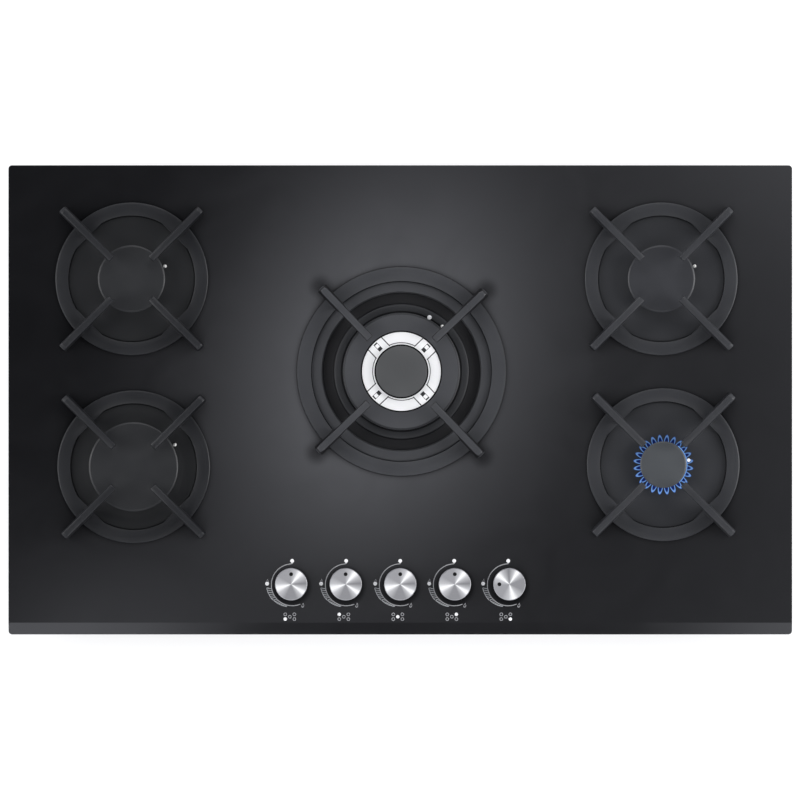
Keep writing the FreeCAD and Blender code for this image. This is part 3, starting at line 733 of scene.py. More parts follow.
@dataclass(frozen=True)
class PrintedGlass:
    """Toughened float glass, printed black underneath, which mirrors less close to what stands on it: painted shade
    that mixes it towards a dark diffuse there and in painted shadow spots.
    """

    name: str = "black_printed_glass"
    shade: str = "#08080A"
    film_shade: str = "#0C0C0E"
    roughness: float = 0.025
    wipe: float = 90.0
    wipe_low: float = 0.35
    wipe_high: float = 0.7
    worn: float = 2.4
    shade_reach: float = 34.0
    shade_samples: int = 8
    closed: float = 0.2
    open: float = 0.8

    def material(self) -> Material:
        """Builds the material; broad faint wiping marks move the gloss a little.

        Returns:
            The material.
        """
        material, tree = new_tree(self.name)
        place = add_node(tree, "ShaderNodeTexCoord")
        wipes = noise(tree, place.outputs["Object"], self.wipe, 4.0, 1.5)
        colour = graded(tree, wipes, [(self.wipe_low, self.shade), (self.wipe_high, self.film_shade)])
        rough = ranged(tree, wipes, given=(self.roughness, self.roughness * self.worn))
        shader = add_node(tree, "ShaderNodeBsdfPrincipled", {"IOR": 1.5}, {"Base Color": colour, "Roughness": rough})
        # Painted shade: close to what stands on the glass, and in the painted shadow spots, the glass is mixed towards
        # a dark diffuse.
        near = add_node(tree, "ShaderNodeAmbientOcclusion",
                        {"samples": self.shade_samples, "Distance": self.shade_reach * MM})
        share = ranged(tree, near.outputs["AO"], (self.closed, self.open))
        for spot in contact_shades():
            reach = add_node(tree, "ShaderNodeVectorMath",
                             {"operation": "DISTANCE", 1: Vector((spot.x, spot.y, GLASS_TOP)) * MM},
                             {0: place.outputs["Object"]})
            light = ranged(tree, reach.outputs["Value"], (spot.near * MM, spot.far * MM), (1.0 - spot.depth, 1.0), True)
            share = maths(tree, "MULTIPLY", share, light)
        dark = add_node(tree, "ShaderNodeBsdfDiffuse", {"Color": linear(self.shade)})
        mixed = add_node(tree, "ShaderNodeMixShader", None,
                         {"Fac": share, 1: dark.outputs["BSDF"], 2: shader.outputs["BSDF"]})
        shown(tree, mixed.outputs["Shader"])
        return material


@dataclass(frozen=True)
class SpunAluminium:
    """Anodised aluminium with a top turned on a lathe: circular grooves, and painted highlight beams where such grooves
    gather the light.

    The real grooves are about 0.1 mm apart, too fine to show, so they are drawn 0.35 mm apart. Each painted beam is its
    bearing, its half width and the painted dark shade that follows it.
    """

    name: str = "spun_aluminium"
    bright_shade: str = "#FDFDFD"
    groove: float = 0.35
    groove_relief: float = 0.01
    groove_strength: float = 0.25
    roughness: float = 0.3
    spread: float = 0.06
    metallic: float = 0.1
    seam: float = 120.0
    middle_shade: str = "#C0C0C2"
    plateau: float = 4.0
    slope: float = 0.4
    painted_beams: tuple[tuple[float, float, str], ...] = (
        (50.0, 46.0, "#9C9C9F"), (197.0, 50.0, "#8E8E91"), (326.0, 36.0, "#828285"))

    def material(self) -> Material:
        """Builds the material from the knob's own flat map, whose centre is the knob's axis.

        Returns:
            The material.
        """
        material, tree = new_tree(self.name)
        place = add_node(tree, "ShaderNodeUVMap", {"uv_map": "turned"})
        parts = add_node(tree, "ShaderNodeSeparateXYZ", None, {"Vector": place.outputs["UV"]})
        bearing = maths(tree, "ARCTAN2", parts.outputs["Y"], parts.outputs["X"])
        colour = graded(tree, ranged(tree, bearing, (-math.pi, math.pi)), self.sectors())
        radius = add_node(tree, "ShaderNodeVectorMath", {"operation": "LENGTH"}, {0: place.outputs["UV"]})
        grooves = add_node(tree, "ShaderNodeTexNoise",
                           {"noise_dimensions": "1D", "Scale": 1 / (self.groove * MM), "Detail": 3.0},
                           {"W": radius.outputs["Value"]})
        rough = ranged(tree, grooves.outputs["Fac"], given=(self.roughness - self.spread, self.roughness + self.spread))
        bump = add_node(tree, "ShaderNodeBump",
                        {"Strength": self.groove_strength, "Distance": self.groove_relief * MM},
                        {"Height": grooves.outputs["Fac"]})
        shader = add_node(tree, "ShaderNodeBsdfPrincipled", {"Metallic": self.metallic, "Anisotropic": 0.6},
                          {"Base Color": colour, "Roughness": rough, "Normal": bump.outputs["Normal"]})
        shown(tree, shader.outputs["BSDF"])
        return material

    def sectors(self) -> list[tuple[float, Any]]:
        """Lists the stops of the ramp round the knob: a painted highlight at each beam and painted dark between two of
        them.

        Returns:
            Position and colour of each stop.
        """
        stops = []
        for index, (middle, half, after) in enumerate(self.painted_beams):
            before = self.painted_beams[index - 1][2]
            for offset, shade in ((-half, before), (-half * self.slope, self.middle_shade),
                                  (-self.plateau, self.bright_shade), (self.plateau, self.bright_shade),
                                  (half * self.slope, self.middle_shade), (half, after)):
                bearing = (middle + offset - self.seam) % 360.0
                stops.append((bearing / 360.0, shade))
        return sorted(stops)


@dataclass(frozen=True)
class GalvanisedSheet:
    """Hot-dip zinc on sheet steel: dull grey metal with crystals of 7 mm, called spangle, each with its own tone."""

    name: str = "galvanised_sheet"
    dark_shade: str = "#93979A"
    bright_shade: str = "#A9ADB0"
    spangle: float = 7.0
    roughness: float = 0.42
    spread: float = 0.05

    def material(self) -> Material:
        """Builds the material; each crystal has its own tone and gloss.

        Returns:
            The material.
        """
        material, tree = new_tree(self.name)
        place = add_node(tree, "ShaderNodeTexCoord")
        crystals = add_node(tree, "ShaderNodeTexVoronoi", {"Scale": 1 / (self.spangle * MM)},
                            {"Vector": place.outputs["Object"]})
        tone = add_node(tree, "ShaderNodeSeparateColor", None, {"Color": crystals.outputs["Color"]})
        colour = graded(tree, tone.outputs["Red"], [(0.0, self.dark_shade), (1.0, self.bright_shade)])
        rough = ranged(tree, tone.outputs["Green"], given=(self.roughness - self.spread, self.roughness + self.spread))
        shader = add_node(tree, "ShaderNodeBsdfPrincipled", {"Metallic": 1.0},
                          {"Base Color": colour, "Roughness": rough})
        shown(tree, shader.outputs["BSDF"])
        return material


@dataclass(frozen=True)
class GasFlame:
    """Gas burning in air: a deep blue core in a thin pale edge, read from each flame's own map."""

    name: str = "gas_flame"
    core: str = "#182864"
    edge: str = "#7AA8EC"
    fringe: str = "#24408C"
    front: float = -98.0
    rear: float = -48.0
    front_strength: float = 0.93
    rear_strength: float = 0.53
    core_end: float = 0.6
    edge_start: float = 0.76
    edge_end: float = 0.86

    def material(self) -> Material:
        """Builds the glow; the map's length is 0 at the middle of a flame's root and 1 at its outline.

        Returns:
            The material.
        """
        material, tree = new_tree(self.name)
        place = add_node(tree, "ShaderNodeUVMap", {"uv_map": "flame"})
        level = add_node(tree, "ShaderNodeVectorMath", {"operation": "LENGTH"}, {0: place.outputs["UV"]})
        colour = graded(tree, level.outputs["Value"],
                        [(0.0, self.core), (self.core_end, self.core), (self.edge_start, self.edge),
                         (self.edge_end, self.edge), (1.0, self.fringe)])
        where = add_node(tree, "ShaderNodeTexCoord")
        parts = add_node(tree, "ShaderNodeSeparateXYZ", None, {"Vector": where.outputs["Object"]})
        power = ranged(tree, parts.outputs["Y"], (self.front * MM, self.rear * MM),
                       (self.front_strength, self.rear_strength))
        glow = add_node(tree, "ShaderNodeEmission", None, {"Color": colour, "Strength": power})
        shown(tree, glow.outputs["Emission"])
        return material


@dataclass(frozen=True)
class Glow:
    """Something that shines by itself in one colour: burning gas, or a painted glow."""

    name: str
    shade: str
    strength: float = 1.0

    def material(self) -> Material:
        """Builds the glow.

        Returns:
            The material.
        """
        material, tree = new_tree(self.name)
        glow = add_node(tree, "ShaderNodeEmission", {"Strength": self.strength, "Color": linear(self.shade)})
        shown(tree, glow.outputs["Emission"])
        return material


class Finishes:
    """Every finish of the hob, made once."""

    def __init__(self) -> None:
        """Builds the materials."""
        self.glass = PrintedGlass().material()
        # Enamel of the caps and of the wok base: matt black. That of the right burners and of the centre one is a
        # little greyer: painted light, where more light falls.
        self.enamel = {side: Enamel("matt_enamel_" + side.value, *shades, roughness=0.42, gloss=0.4).material()
                       for side, shades in ENAMEL_PAINTED_LIGHT.items()}
        # Enamelled grey iron, cast in sand: the sand's grain shows through the enamel as a fine roughness. Its tone by
        # side is painted light.
        self.iron = {side: Surface("enamelled_iron_" + side.value, *shades, roughness=0.38, grain=1.6, relief=0.04,
                                   patch=30.0, gloss=0.4).material()
                     for side, shades in IRON_PAINTED_LIGHT.items()}
        # Enamel of the dishes: a little darker and less shiny, with painted shade that darkens it close to what stands
        # on it; its tone by side is painted light.
        self.dish_enamel = {side: Enamel("dish_enamel_" + side.value, *shades, roughness=0.46, gloss=0.3,
                                         near_shade=0.33).material()
                            for side, shades in DISH_PAINTED_LIGHT.items()}
        # Painted shade: near-black enamel without gloss, deep in the trough and on steep flanks, where hardly any light
        # comes.
        self.painted_shade_enamel = Enamel("shaded_enamel", "#1F1F21", "#1B1B1D", roughness=0.6, gloss=0.2).material()
        # Painted shade on edges that stand beside a flame or in a narrow gap: black that swallows the light.
        self.gap_painted_shade = Surface("painted_gap_shade", "#050505", "#030303", roughness=0.9, gloss=0.05).material()
        # Enamel of the wok base's step and of the ring cap's rim: a shade darker and duller.
        self.step_enamel = Enamel("step_enamel", "#2A2B2E", "#262729", gloss=0.32).material()
        # Enamel of the inner cap: the greyest of all, painted light where most light falls at the middle.
        self.inner_painted_light = Enamel("inner_cap_enamel", "#464748", "#424344", roughness=0.42).material()
        # Enamel of the lit burner's cap: painted light, lighter than the other caps, with a greenish cast.
        self.painted_light_enamel = Enamel("lit_cap_painted_light", "#44474A", "#404346", roughness=0.45).material()
        # Pressure die-cast aluminium, bead blasted: pale, even, slightly sparkling. Its grit of about 0.2 mm is too
        # fine to show, so it is drawn at 0.5 mm.
        self.cast_aluminium = Surface("cast_aluminium", "#C9CACB", "#B4B5B7", 1.0, 0.42, 0.08, 0.5, 0.03).material()
        # Machined and polished aluminium: a painted reflection, white non-metal colour that stands in for the lamps
        # above mirrored as an even white, with hardly a tool mark left.
        self.bright_aluminium = Surface("machined_aluminium", "#FFFFFF", "#FCFCFC", 0.0, 0.35, 0.04, 0.6,
                                        0.004, gloss=1.0).material()
        # The same casting, dark grey with a dull metal gleam, on the crown's upward faces: soot where the flames have
        # blackened the ports' floors, and painted shade where the crown shows through the deck plates' grooves, joints
        # and slots.
        self.blackened_and_shaded_aluminium = Surface("blackened_and_shaded_aluminium", "#3A3A3C", "#2C2C2E", 0.4, 0.6, 0.06, 0.5,
                                       0.02).material()
        # The knob tops: spun aluminium with painted highlight beams and painted darker sectors, fixed to the knob.
        self.knob_top = SpunAluminium().material()
        # Satin anodised aluminium: an even grey metal with faint lines round the knob's side.
        self.knob_side = Surface("satin_aluminium", "#C2C2C4", "#B2B2B5", 1.0, 0.34, 0.05, 0.5, 0.01,
                                 stretch=(1.0, 1.0, 6.0)).material()
        # Drawn aluminium tube, left plain: bright metal with die lines along the pipe.
        self.drawn_aluminium = Surface("drawn_aluminium", "#C6C7C8", "#B6B7B8", 1.0, 0.3, 0.06, 0.4, 0.01,
                                       stretch=(1.0, 0.2, 1.0)).material()
        self.galvanised = GalvanisedSheet().material()
        # Zinc-plated tube: bluish metal, fine and even.
        self.plated = Surface("zinc_plated_steel", "#A9ADB0", "#989CA0", 1.0, 0.35, 0.08, 0.7, 0.01).material()
        # Blued spring steel: dark, slightly oily oxide.
        self.spring = Surface("blued_spring_steel", "#4A4D54", "#3B3E45", 1.0, 0.38, 0.1, 1.2, 0.01).material()
        # Centreless-ground stainless steel: bright warm grey with fine marks round the rod.
        self.stainless = Surface("ground_stainless", "#A6A5A2", "#93928F", 1.0, 0.3, 0.07, 0.4, 0.008,
                                 stretch=(1.0, 1.0, 0.2)).material()
        # Machined brass: warm, with fine cutter marks and slight tarnish in patches.
        self.brass = Surface("machined_brass", "#C79A4A", "#A67E3A", 1.0, 0.28, 0.08, 0.5, 0.01, patch=9.0).material()
        # Glazed alumina: white ceramic under a clear shiny glaze.
        self.ceramic = Surface("glazed_alumina", "#FEFDFA", "#F6F5F0", 0.0, 0.18, 0.04, 1.0, 0.004,
                               coat=0.6).material()
        # Silicone rubber: matt black, with the mould's fine sand-blast.
        self.silicone = Surface("silicone_rubber", "#1B1B1D", "#141416", 0.0, 0.72, 0.06, 0.5, 0.02).material()
        # Closed-cell foam: coarse, very matt black.
        self.foam = Surface("cell_foam", "#1D1D1E", "#121213", 0.0, 0.9, 0.05, 1.1, 0.12).material()
        # Glass-filled polyamide: black moulding with a spark-eroded texture.
        self.plastic = Surface("moulded_polyamide", "#1F1F21", "#18181A", 0.0, 0.52, 0.06, 0.35, 0.03).material()
        # The print's filled dots: chalky white ceramic ink.
        self.ink = Ink("fired_white_ink", "#FFFFFF", "#F6F6F6").material()
        # The same ink through a finer screen for arcs and signs, and for hatching: grey, as glass shows between its
        # dots.
        self.grey_ink = Ink("fired_grey_ink", "#A8A8AA", "#9C9C9E").material()
        self.hatch_ink = Ink("fired_hatch_ink", "#B4B6B8", "#A6A8AA").material()
        # Lacquer filled into the knob's pointer dot: black with no shine.
        self.pointer = Surface("black_lacquer", "#0C0C0D", "#080809", 0.0, 0.8, 0.05, 0.3, 0.004, gloss=0.2).material()
        # Burning gas, where it leaves the cap: pale blue glow. The electrode's tip: a near-white painted glow.
        self.flame = GasFlame().material()
        self.flame_root = Glow("flame_root", "#6C9EE6").material()
        self.tip_painted_glow = Glow("painted_electrode_glow", "#F4F8FF").material()


# ================================================================ pan supports
@dataclass(frozen=True)
class PanSupport:
    """Cast ring with four drafted arms, whose fingers reach in over the burner."""

    node: str
    turn: float = 0.0
    ring_in: float = 69.5
    ring_out: float = 83.9
    arm_in: float = 30.0
    arm_out: float = 107.6
    web_at: float = 66.4
    web_rise: float = 0.7
    ring_thickness: float = 5.0
    top_width: float = 7.4
    foot_width: float = 10.4
    finger_depth: float = 9.0
    bend_r: float = 9.0
    leg_slope: float = 7.0
    tip: float = 3.2
    tip_drop: float = 2.0
    nose: float = 0.6
    end_round: float = 0.0
    edge_round: float = 1.0
    ring_round: float = 1.4
    inner_round: float = 0.3
    bend_steps: int = 6
    web_root: float = 2.0
    web_sink: float = 0.02
    facets: int = 128

    def arm(self, place: Place) -> Object:
        """Models one arm along +X from its side outline, and drafts its flanks.

        Args:
            place: Place of the whole support.

        Returns:
            The arm, about the support's axis.
        """
        low, high = place.low, place.high
        under = high - self.finger_depth
        knee = self.ring_in - self.leg_slope
        leg = Vector((self.ring_in - knee, 0.0, low - under)).normalized()
        half_turn = Vector((1.0, 0.0, 0.0)).angle(leg) / 2
        setback = self.bend_r * math.tan(half_turn)
        start = Vector((knee - setback, 0.0, under))
        centre = start - Vector((0.0, 0.0, self.bend_r))
        bend = []
        for step in range(self.bend_steps + 1):
            turn = 2 * half_turn * step / self.bend_steps
            bend.append(centre + self.bend_r * Vector((math.sin(turn), 0.0, math.cos(turn))))
        outline = bend + [Vector((self.ring_in, 0.0, low)), Vector((self.arm_out, 0.0, low)),
                          Vector((self.arm_out, 0.0, high - self.tip_drop)),
                          Vector((self.arm_out - self.tip, 0.0, high)),
                          Vector((self.arm_in + self.nose, 0.0, high)), Vector((self.arm_in, 0.0, under))]
        half_foot = Vector((0.0, self.foot_width / 2, 0.0))
        arm = slab("arm", [corner - half_foot for corner in outline], 2 * half_foot)
        open_edit(arm)
        for height in sorted({round(corner.z, 3) for corner in outline}):
            share = (height - low) / (high - low)
            width = (self.foot_width + (self.top_width - self.foot_width) * share) / self.foot_width
            pick(Pick.VERTS, lambda at, _: abs(at.z - height) < LEVEL_REACH)
            bpy.ops.transform.resize(value=(1.0, width, 1.0), center_override=(0.0, 0.0, 0.0))
        if self.end_round:
            pick(Pick.EDGES, lambda at, _: at.x > self.arm_out - self.tip * 0.6 and abs(at.y) > 1.0)
            bpy.ops.mesh.bevel(offset=self.end_round * MM, segments=3, affect="EDGES")
        close_edit()
        return bevel(arm, self.edge_round)

    def web(self, low: float) -> Object:
        """Models the web under an arm, which fills the ring's inner edge straight across, just over the dish's rim.

        Args:
            low: Underside of the ring, in millimetres.

        Returns:
            The web, about the support's axis.
        """
        reach = self.ring_in + self.web_root
        half = math.degrees(math.acos(self.web_at / reach))
        foot = Vector((0.0, 0.0, low + self.web_rise))
        outline = [foot + point for point in arc_points(0.0, 0.0, reach, -half, half, 12)]
        rise = Vector((0.0, 0.0, self.ring_thickness - self.web_rise - self.web_sink))
        return bevel(slab("web", outline, rise), self.inner_round)

    def build(self, name: str) -> Object:
        """Models the ring and joins the arms to it.

        Args:
            name: The support's name.

        Returns:
            The support, about its own axis.
        """
        place = Place.of(self.node)
        low = place.low
        ring_top = low + self.ring_thickness
        shoulder = arc_points(self.ring_out - self.ring_round, ring_top - self.ring_round, self.ring_round,
                              0.0, QUARTER, 4)
        profile = [(self.ring_in, low), (self.ring_out, low), *((at.x, at.y) for at in shoulder),
                   (self.ring_in, ring_top)]
        support = bevel(spun(name, profile, 0.0, 0.0, self.facets), self.inner_round)
        arm = self.arm(place)
        if self.web_at:
            boolean(arm, self.web(low), "UNION")
        for quarter in range(4):
            twin = copied(arm, "arm_copy", turn_about(0.0, 0.0, FIRST_ARM + QUARTER * quarter + self.turn))
            boolean(support, twin, "UNION")
        bpy.data.objects.remove(arm)
        return smooth(support)


@dataclass(frozen=True)
class PanSupports:
    """The five lift-off supports."""

    finishes: Finishes
    edge_rise: float = 15.0
    flank_tilt: float = 0.85
    side_tilt: float = 0.95
    edge_tilt: float = 0.9
    edge_margin: float = 0.2
    inward: float = 0.6

    def build(self) -> None:
        """Models the small support once and copies it, then models the large one."""
        model = PanSupport("pan_support_rear_left").build("small_support")
        for kind in BurnerKind:
            node = "pan_support_" + kind.value
            place = Place.of(node)
            piece = copied(model, "cast_support_" + kind.value, shift(place.x, place.y))
            finish_piece(piece, "support_" + kind.value, self.finishes.iron[kind.side],
                         [node])
            # Painted shade: black on the webs' inner edges, in the narrow gap over the dish.
            dress_faces(piece, self.finishes.gap_painted_shade, lambda at, normal: self.on_web_edge(place, at, normal))
        bpy.data.objects.remove(model)
        node = "pan_support_centre"
        ring = Place.of("wok_ring_cap")
        large = PanSupport(node, turn=WOK_TURN, ring_in=99.2, ring_out=115.2, arm_in=49.4, arm_out=127.2,
                           web_at=0.0, top_width=7.8, foot_width=12.0, end_round=2.0)
        piece = large.build("cast_support_centre")
        piece.data.transform(shift(ring.x, ring.y))
        finish_piece(piece, "support_centre", self.finishes.iron[Side.CENTRE], [node])
        # Painted shade: near black on the large support's arm flanks and inner ends, and on its ring's outer edge.
        dress_faces(piece, self.finishes.painted_shade_enamel, self.on_arm_flank)
        dress_faces(piece, self.finishes.painted_shade_enamel,
                    lambda at, normal: normal.z < self.side_tilt and at.z < GLASS_TOP + self.edge_rise
                    and math.hypot(at.x - ring.x, at.y - ring.y) > large.ring_out - large.ring_round)

    def on_arm_flank(self, at: Vector, normal: Vector) -> bool:
        """Tells whether a face is a flank or an inner end of one of the large support's arms, above its ring.

        Args:
            at: The face's middle, in millimetres.
            normal: Its normal.

        Returns:
            Whether it is.
        """
        ring = Place.of("wok_ring_cap")
        way = Vector((at.x - ring.x, at.y - ring.y, 0.0)).normalized()
        steep = normal.z < self.flank_tilt and normal.dot(way) < self.inward
        return steep and at.z > GLASS_TOP + self.edge_rise

    def on_web_edge(self, place: Place, at: Vector, normal: Vector) -> bool:
        """Tells whether a face is on the shaded inner edge of a small support's webs: low, steep and inside the ring.

        Args:
            place: Place of the support.
            at: The face's middle, in millimetres.
            normal: Its normal.

        Returns:
            Whether it is.
        """
        reach = math.hypot(at.x - place.x, at.y - place.y)
        low = at.z < place.low + PanSupport.ring_thickness
        return low and abs(normal.z) < self.edge_tilt and reach < PanSupport.ring_in - self.edge_margin


# ================================================================ burners
@dataclass(frozen=True)
class SmallBurner:
    """Enamelled dish, ported crown and enamelled cap of a small burner."""

    kind: BurnerKind
    ports: int
    rim_r: float = 69.2
    rim_land: float = 1.6
    rise: float = 1.8
    hollow: float = 0.6
    slope_width: float = 3.0
    seat_margin: float = 1.0
    seat_slope: float = 4.0
    rim_bevel: float = 0.35
    plate_r: float = 56.5
    plate_sink: float = 3.0
    neck_r: float = 24.0
    neck_low: float = 28.0
    bore_r: float = 10.0
    cap_inset: float = 1.0
    cap_foot: tuple[Corner, ...] = ((0.4, 0.0), (0.0, 0.6))
    cap_rim: tuple[Corner, ...] = ((0.0, 0.9), (1.2, 0.2), (1.7, 0.0), (2.3, 0.0))
    port_depth: float = 4.0
    port_reach: float = 2.2
    dish_facets: int = 112
    cap_facets: int = 128

    def place(self) -> Place:
        """Place of the cap, which gives the burner's axis."""
        return Place.of("burner_cap_" + self.kind.value)

    def dish(self) -> Object:
        """Turns the dish: a land at the rim, a shallow hollow and a flat seat under the crown.

        Returns:
            The dish.
        """
        cap = self.place()
        top = GLASS_TOP + self.rise
        seat_r = cap.half_x + self.seat_margin
        hollow_r = self.rim_r - self.rim_land - self.slope_width
        profile = [
            (self.bore_r, self.neck_low), (self.neck_r, self.neck_low), (self.neck_r, GLASS_TOP - self.plate_sink),
            (self.plate_r, GLASS_TOP - self.plate_sink), (self.plate_r, GLASS_TOP), (self.rim_r, GLASS_TOP),
            (self.rim_r, top), (self.rim_r - self.rim_land, top), (hollow_r, top - self.hollow * 0.7),
            ((hollow_r + seat_r) / 2, top - self.hollow), (seat_r + self.seat_slope, top - self.hollow * 0.8),
            (seat_r, top), (self.bore_r, top),
        ]
        dish = spun("dish_" + self.kind.value, profile, cap.x, cap.y, self.dish_facets)
        return smooth(bevel(dish, self.rim_bevel))

    def crown(self) -> Object:
        """Turns the crown and sinks its ports into the wall, one by one.

        Returns:
            The crown.
        """
        cap = self.place()
        low = GLASS_TOP + self.rise
        outer = cap.half_x - self.cap_inset
        facets = self.ports * PORT_PITCH
        port_low = cap.low - self.port_depth
        profile = [(0.0, low), (outer, low), (outer, port_low), (outer, cap.low), (0.0, cap.low)]
        crown = spun("crown_" + self.kind.value, profile, cap.x, cap.y, facets)
        sink_ports(crown, cap.x, cap.y, outer, port_low, cap.low, self.ports, self.port_reach)
        return smooth(crown)

    def cap(self) -> Object:
        """Turns the cap with a soft upper edge and a drip lip underneath.

        Returns:
            The cap.
        """
        cap = self.place()
        profile = turned_profile(cap.low, cap.high, cap.half_x, self.cap_rim, self.cap_foot)
        return smooth(spun("cap_" + self.kind.value, profile, cap.x, cap.y, self.cap_facets))


PORT_PITCH = 4            # wall facets from port to port
PORT_FACET = 1            # which of them is the port
PORT_EDGE = 0.18          # from a port's facet to the hole in it
WALL_SHARE = 0.98         # share of a wall's radius beyond which a face is on the wall


def sink_ports(crown: Object, x: float, y: float, radius: float, low: float, high: float, count: int,
               reach: float) -> None:
    """Sinks every fourth wall face of a crown inwards, so that each makes a port.

    Args:
        crown: The turned crown, with four facets to a port.
        x: Axis, in millimetres.
        y: Axis, in millimetres.
        radius: Radius of the wall.
        low: Underside of the ports.
        high: Top of the ports.
        count: Number of ports.
        reach: Depth of a port.
    """
    pitch = 360.0 / (count * PORT_PITCH)

    def is_port(at: Vector, _: Vector) -> bool:
        """Tells whether a face is one of the ports.

        Args:
            at: The face's middle, in millimetres.

        Returns:
            Whether it is.
        """
        if not (low < at.z < high and math.hypot(at.x - x, at.y - y) > radius * WALL_SHARE):
            return False
        bearing = math.degrees(math.atan2(at.y - y, at.x - x)) % 360.0
        return int(bearing / pitch) % PORT_PITCH == PORT_FACET

    open_edit(crown)
    pick(Pick.FACES, is_port)
    bpy.ops.mesh.inset(thickness=PORT_EDGE * MM, use_individual=True)
    bpy.ops.mesh.extrude_faces_move(TRANSFORM_OT_shrink_fatten={"value": -reach * MM})
    close_edit()


@dataclass(frozen=True)
class WokBurner:
    """Double-ring burner: stepped base, crown with a bright deck, ring cap and inner cap."""

    rim_r: float = 98.6
    trough_out: float = 87.0
    trough_in: float = 74.3
    trough_sink: float = 4.0
    outer_lip: float = 0.6
    outer_slope: float = 1.4
    inner_slope: float = 0.8
    step_edge: Corner = (0.4, 1.6)
    step_drop: float = 0.6
    step_slope: float = 1.4
    step_r: float = 65.2
    step_rise: float = 1.2
    rise: float = 1.8
    plate_r: float = 86.5
    neck_r: float = 32.0
    neck_low: float = 28.0
    bore_r: float = 10.0
    ports: int = 36
    deck_r: float = 43.2
    deck_rise: float = 20.0
    rebate: float = 0.7
    bridge_half: float = 9.4
    inner_inset: float = 0.6
    groove_r: float = 31.1
    groove_width: float = 0.9
    groove_steps: int = 24
    cutter_play: float = 1.0
    joint_width: float = 1.1
    joint_play: float = 4.0
    slot_width: float = 4.8
    slot_length: float = 9.8
    slot_offset: float = 0.3
    tongue_inset: float = 4.9
    tongue_length: float = 4.4
    tongue_height: float = 0.6
    tongue_play: float = 0.9
    tongue_bevel: float = 0.15
    cap_bore_r: float = 43.6
    bore_foot: float = 0.3
    bore_edge: Corner = (1.1, 1.2)
    ring_foot: tuple[Corner, ...] = ((0.4, 0.0), (0.0, 0.6), (0.0, 2.0))
    ring_rim: tuple[Corner, ...] = ((0.4, 1.0), (1.4, 0.2), (2.2, 0.0))
    inner_foot: tuple[Corner, ...] = ((0.4, 0.0), (0.0, 0.5))
    inner_rim: tuple[Corner, ...] = ((0.0, 2.0), (1.6, 0.2), (2.0, 0.0))
    plate_overlap: float = 0.9
    base_bevel: float = 0.4
    seat_sink: float = 1.0
    trough_floor: float = 3.0
    dark_rise: float = 0.6
    step_tilt: float = 0.5
    trough_tilt: float = -0.1
    rim_tilts: Corner = (0.2, 0.985)
    rim_width: float = 4.0
    wall_tilt: float = 0.8
    wall_reach: float = 1.4
    port_depths: Corner = (4.0, 3.2)
    port_reaches: Corner = (2.4, 1.2)
    inner_share: float = 0.99
    facets: int = 144
    inner_facets: int = 128

    def reach(self, at: Vector) -> float:
        """Distance of a point from the burner's axis, in millimetres."""
        return math.hypot(at.x - Place.of("wok_ring_cap").x, at.y - Place.of("wok_ring_cap").y)

    def on_step(self, at: Vector, normal: Vector) -> bool:
        """Tells whether a face of the base, by its middle and normal, is the top of its step."""
        raised = at.z > GLASS_TOP + self.dark_rise
        return raised and normal.z > self.step_tilt and self.step_r < self.reach(at) < self.trough_in

    def in_trough(self, at: Vector, normal: Vector) -> bool:
        """Tells whether a face of the base, by its middle and normal, is in its trough."""
        return at.z < GLASS_TOP + self.dark_rise and normal.z > self.trough_tilt

    def on_cap_rim(self, at: Vector, normal: Vector) -> bool:
        """Tells whether a face, by its middle and normal, is on the sloping rim of the ring cap."""
        steep, flat = self.rim_tilts
        return steep < normal.z < flat and self.reach(at) > Place.of("wok_ring_cap").half_x - self.rim_width

    def beside_deck(self, at: Vector, normal: Vector) -> bool:
        """Tells whether a face of a cap, by its middle and normal, stands steeply beside the bright deck."""
        return normal.z < self.wall_tilt and self.reach(at) < self.deck_r + self.wall_reach

    def base(self) -> Object:
        """Turns the stepped base with its flat-bottomed trough.

        Returns:
            The base.
        """
        ring = Place.of("wok_ring_cap")
        trough = GLASS_TOP - self.trough_sink
        under = trough - self.trough_floor
        rim = GLASS_TOP + self.rise
        step = GLASS_TOP + self.step_rise
        seat = GLASS_TOP - self.seat_sink
        profile = [
            (self.bore_r, self.neck_low), (self.neck_r, self.neck_low), (self.neck_r, under),
            (self.plate_r, under), (self.plate_r, GLASS_TOP), (self.rim_r, GLASS_TOP), (self.rim_r, rim),
            (self.trough_out + self.outer_lip, rim), (self.trough_out - self.outer_slope, trough),
            (self.trough_in + self.inner_slope, trough), (self.trough_in - self.step_edge[0], step - self.step_drop),
            (self.trough_in - self.step_edge[1], step), (self.step_r + self.step_slope, step),
            (self.step_r, seat), (self.bore_r, seat),
        ]
        return smooth(bevel(spun("wok_dish", profile, ring.x, ring.y, self.facets), self.base_bevel))

    def crown(self) -> Object:
        """Turns the crown up to its deck and sinks both rows of ports.

        Returns:
            The crown.
        """
        ring, inner = Place.of("wok_ring_cap"), Place.of("wok_inner_cap")
        low = GLASS_TOP - self.seat_sink
        outer = ring.half_x - SmallBurner.cap_inset
        inner_r = inner.half_x - SmallBurner.cap_inset
        deck = GLASS_TOP + self.deck_rise - self.rebate
        port_low, inner_port_low = ring.low - self.port_depths[0], inner.low - self.port_depths[1]
        profile = [
            (0.0, low), (outer, low), (outer, port_low), (outer, ring.low), (self.deck_r, ring.low),
            (self.deck_r, deck), (inner_r, deck), (inner_r, inner_port_low), (inner_r, inner.low), (0.0, inner.low),
        ]
        crown = spun("crown_centre", profile, ring.x, ring.y, self.ports * PORT_PITCH)
        sink_ports(crown, ring.x, ring.y, outer, port_low, ring.low, self.ports, self.port_reaches[0])
        sink_ports(crown, ring.x, ring.y, inner_r * self.inner_share, inner_port_low, inner.low, self.ports,
                   self.port_reaches[1])
        return smooth(crown)

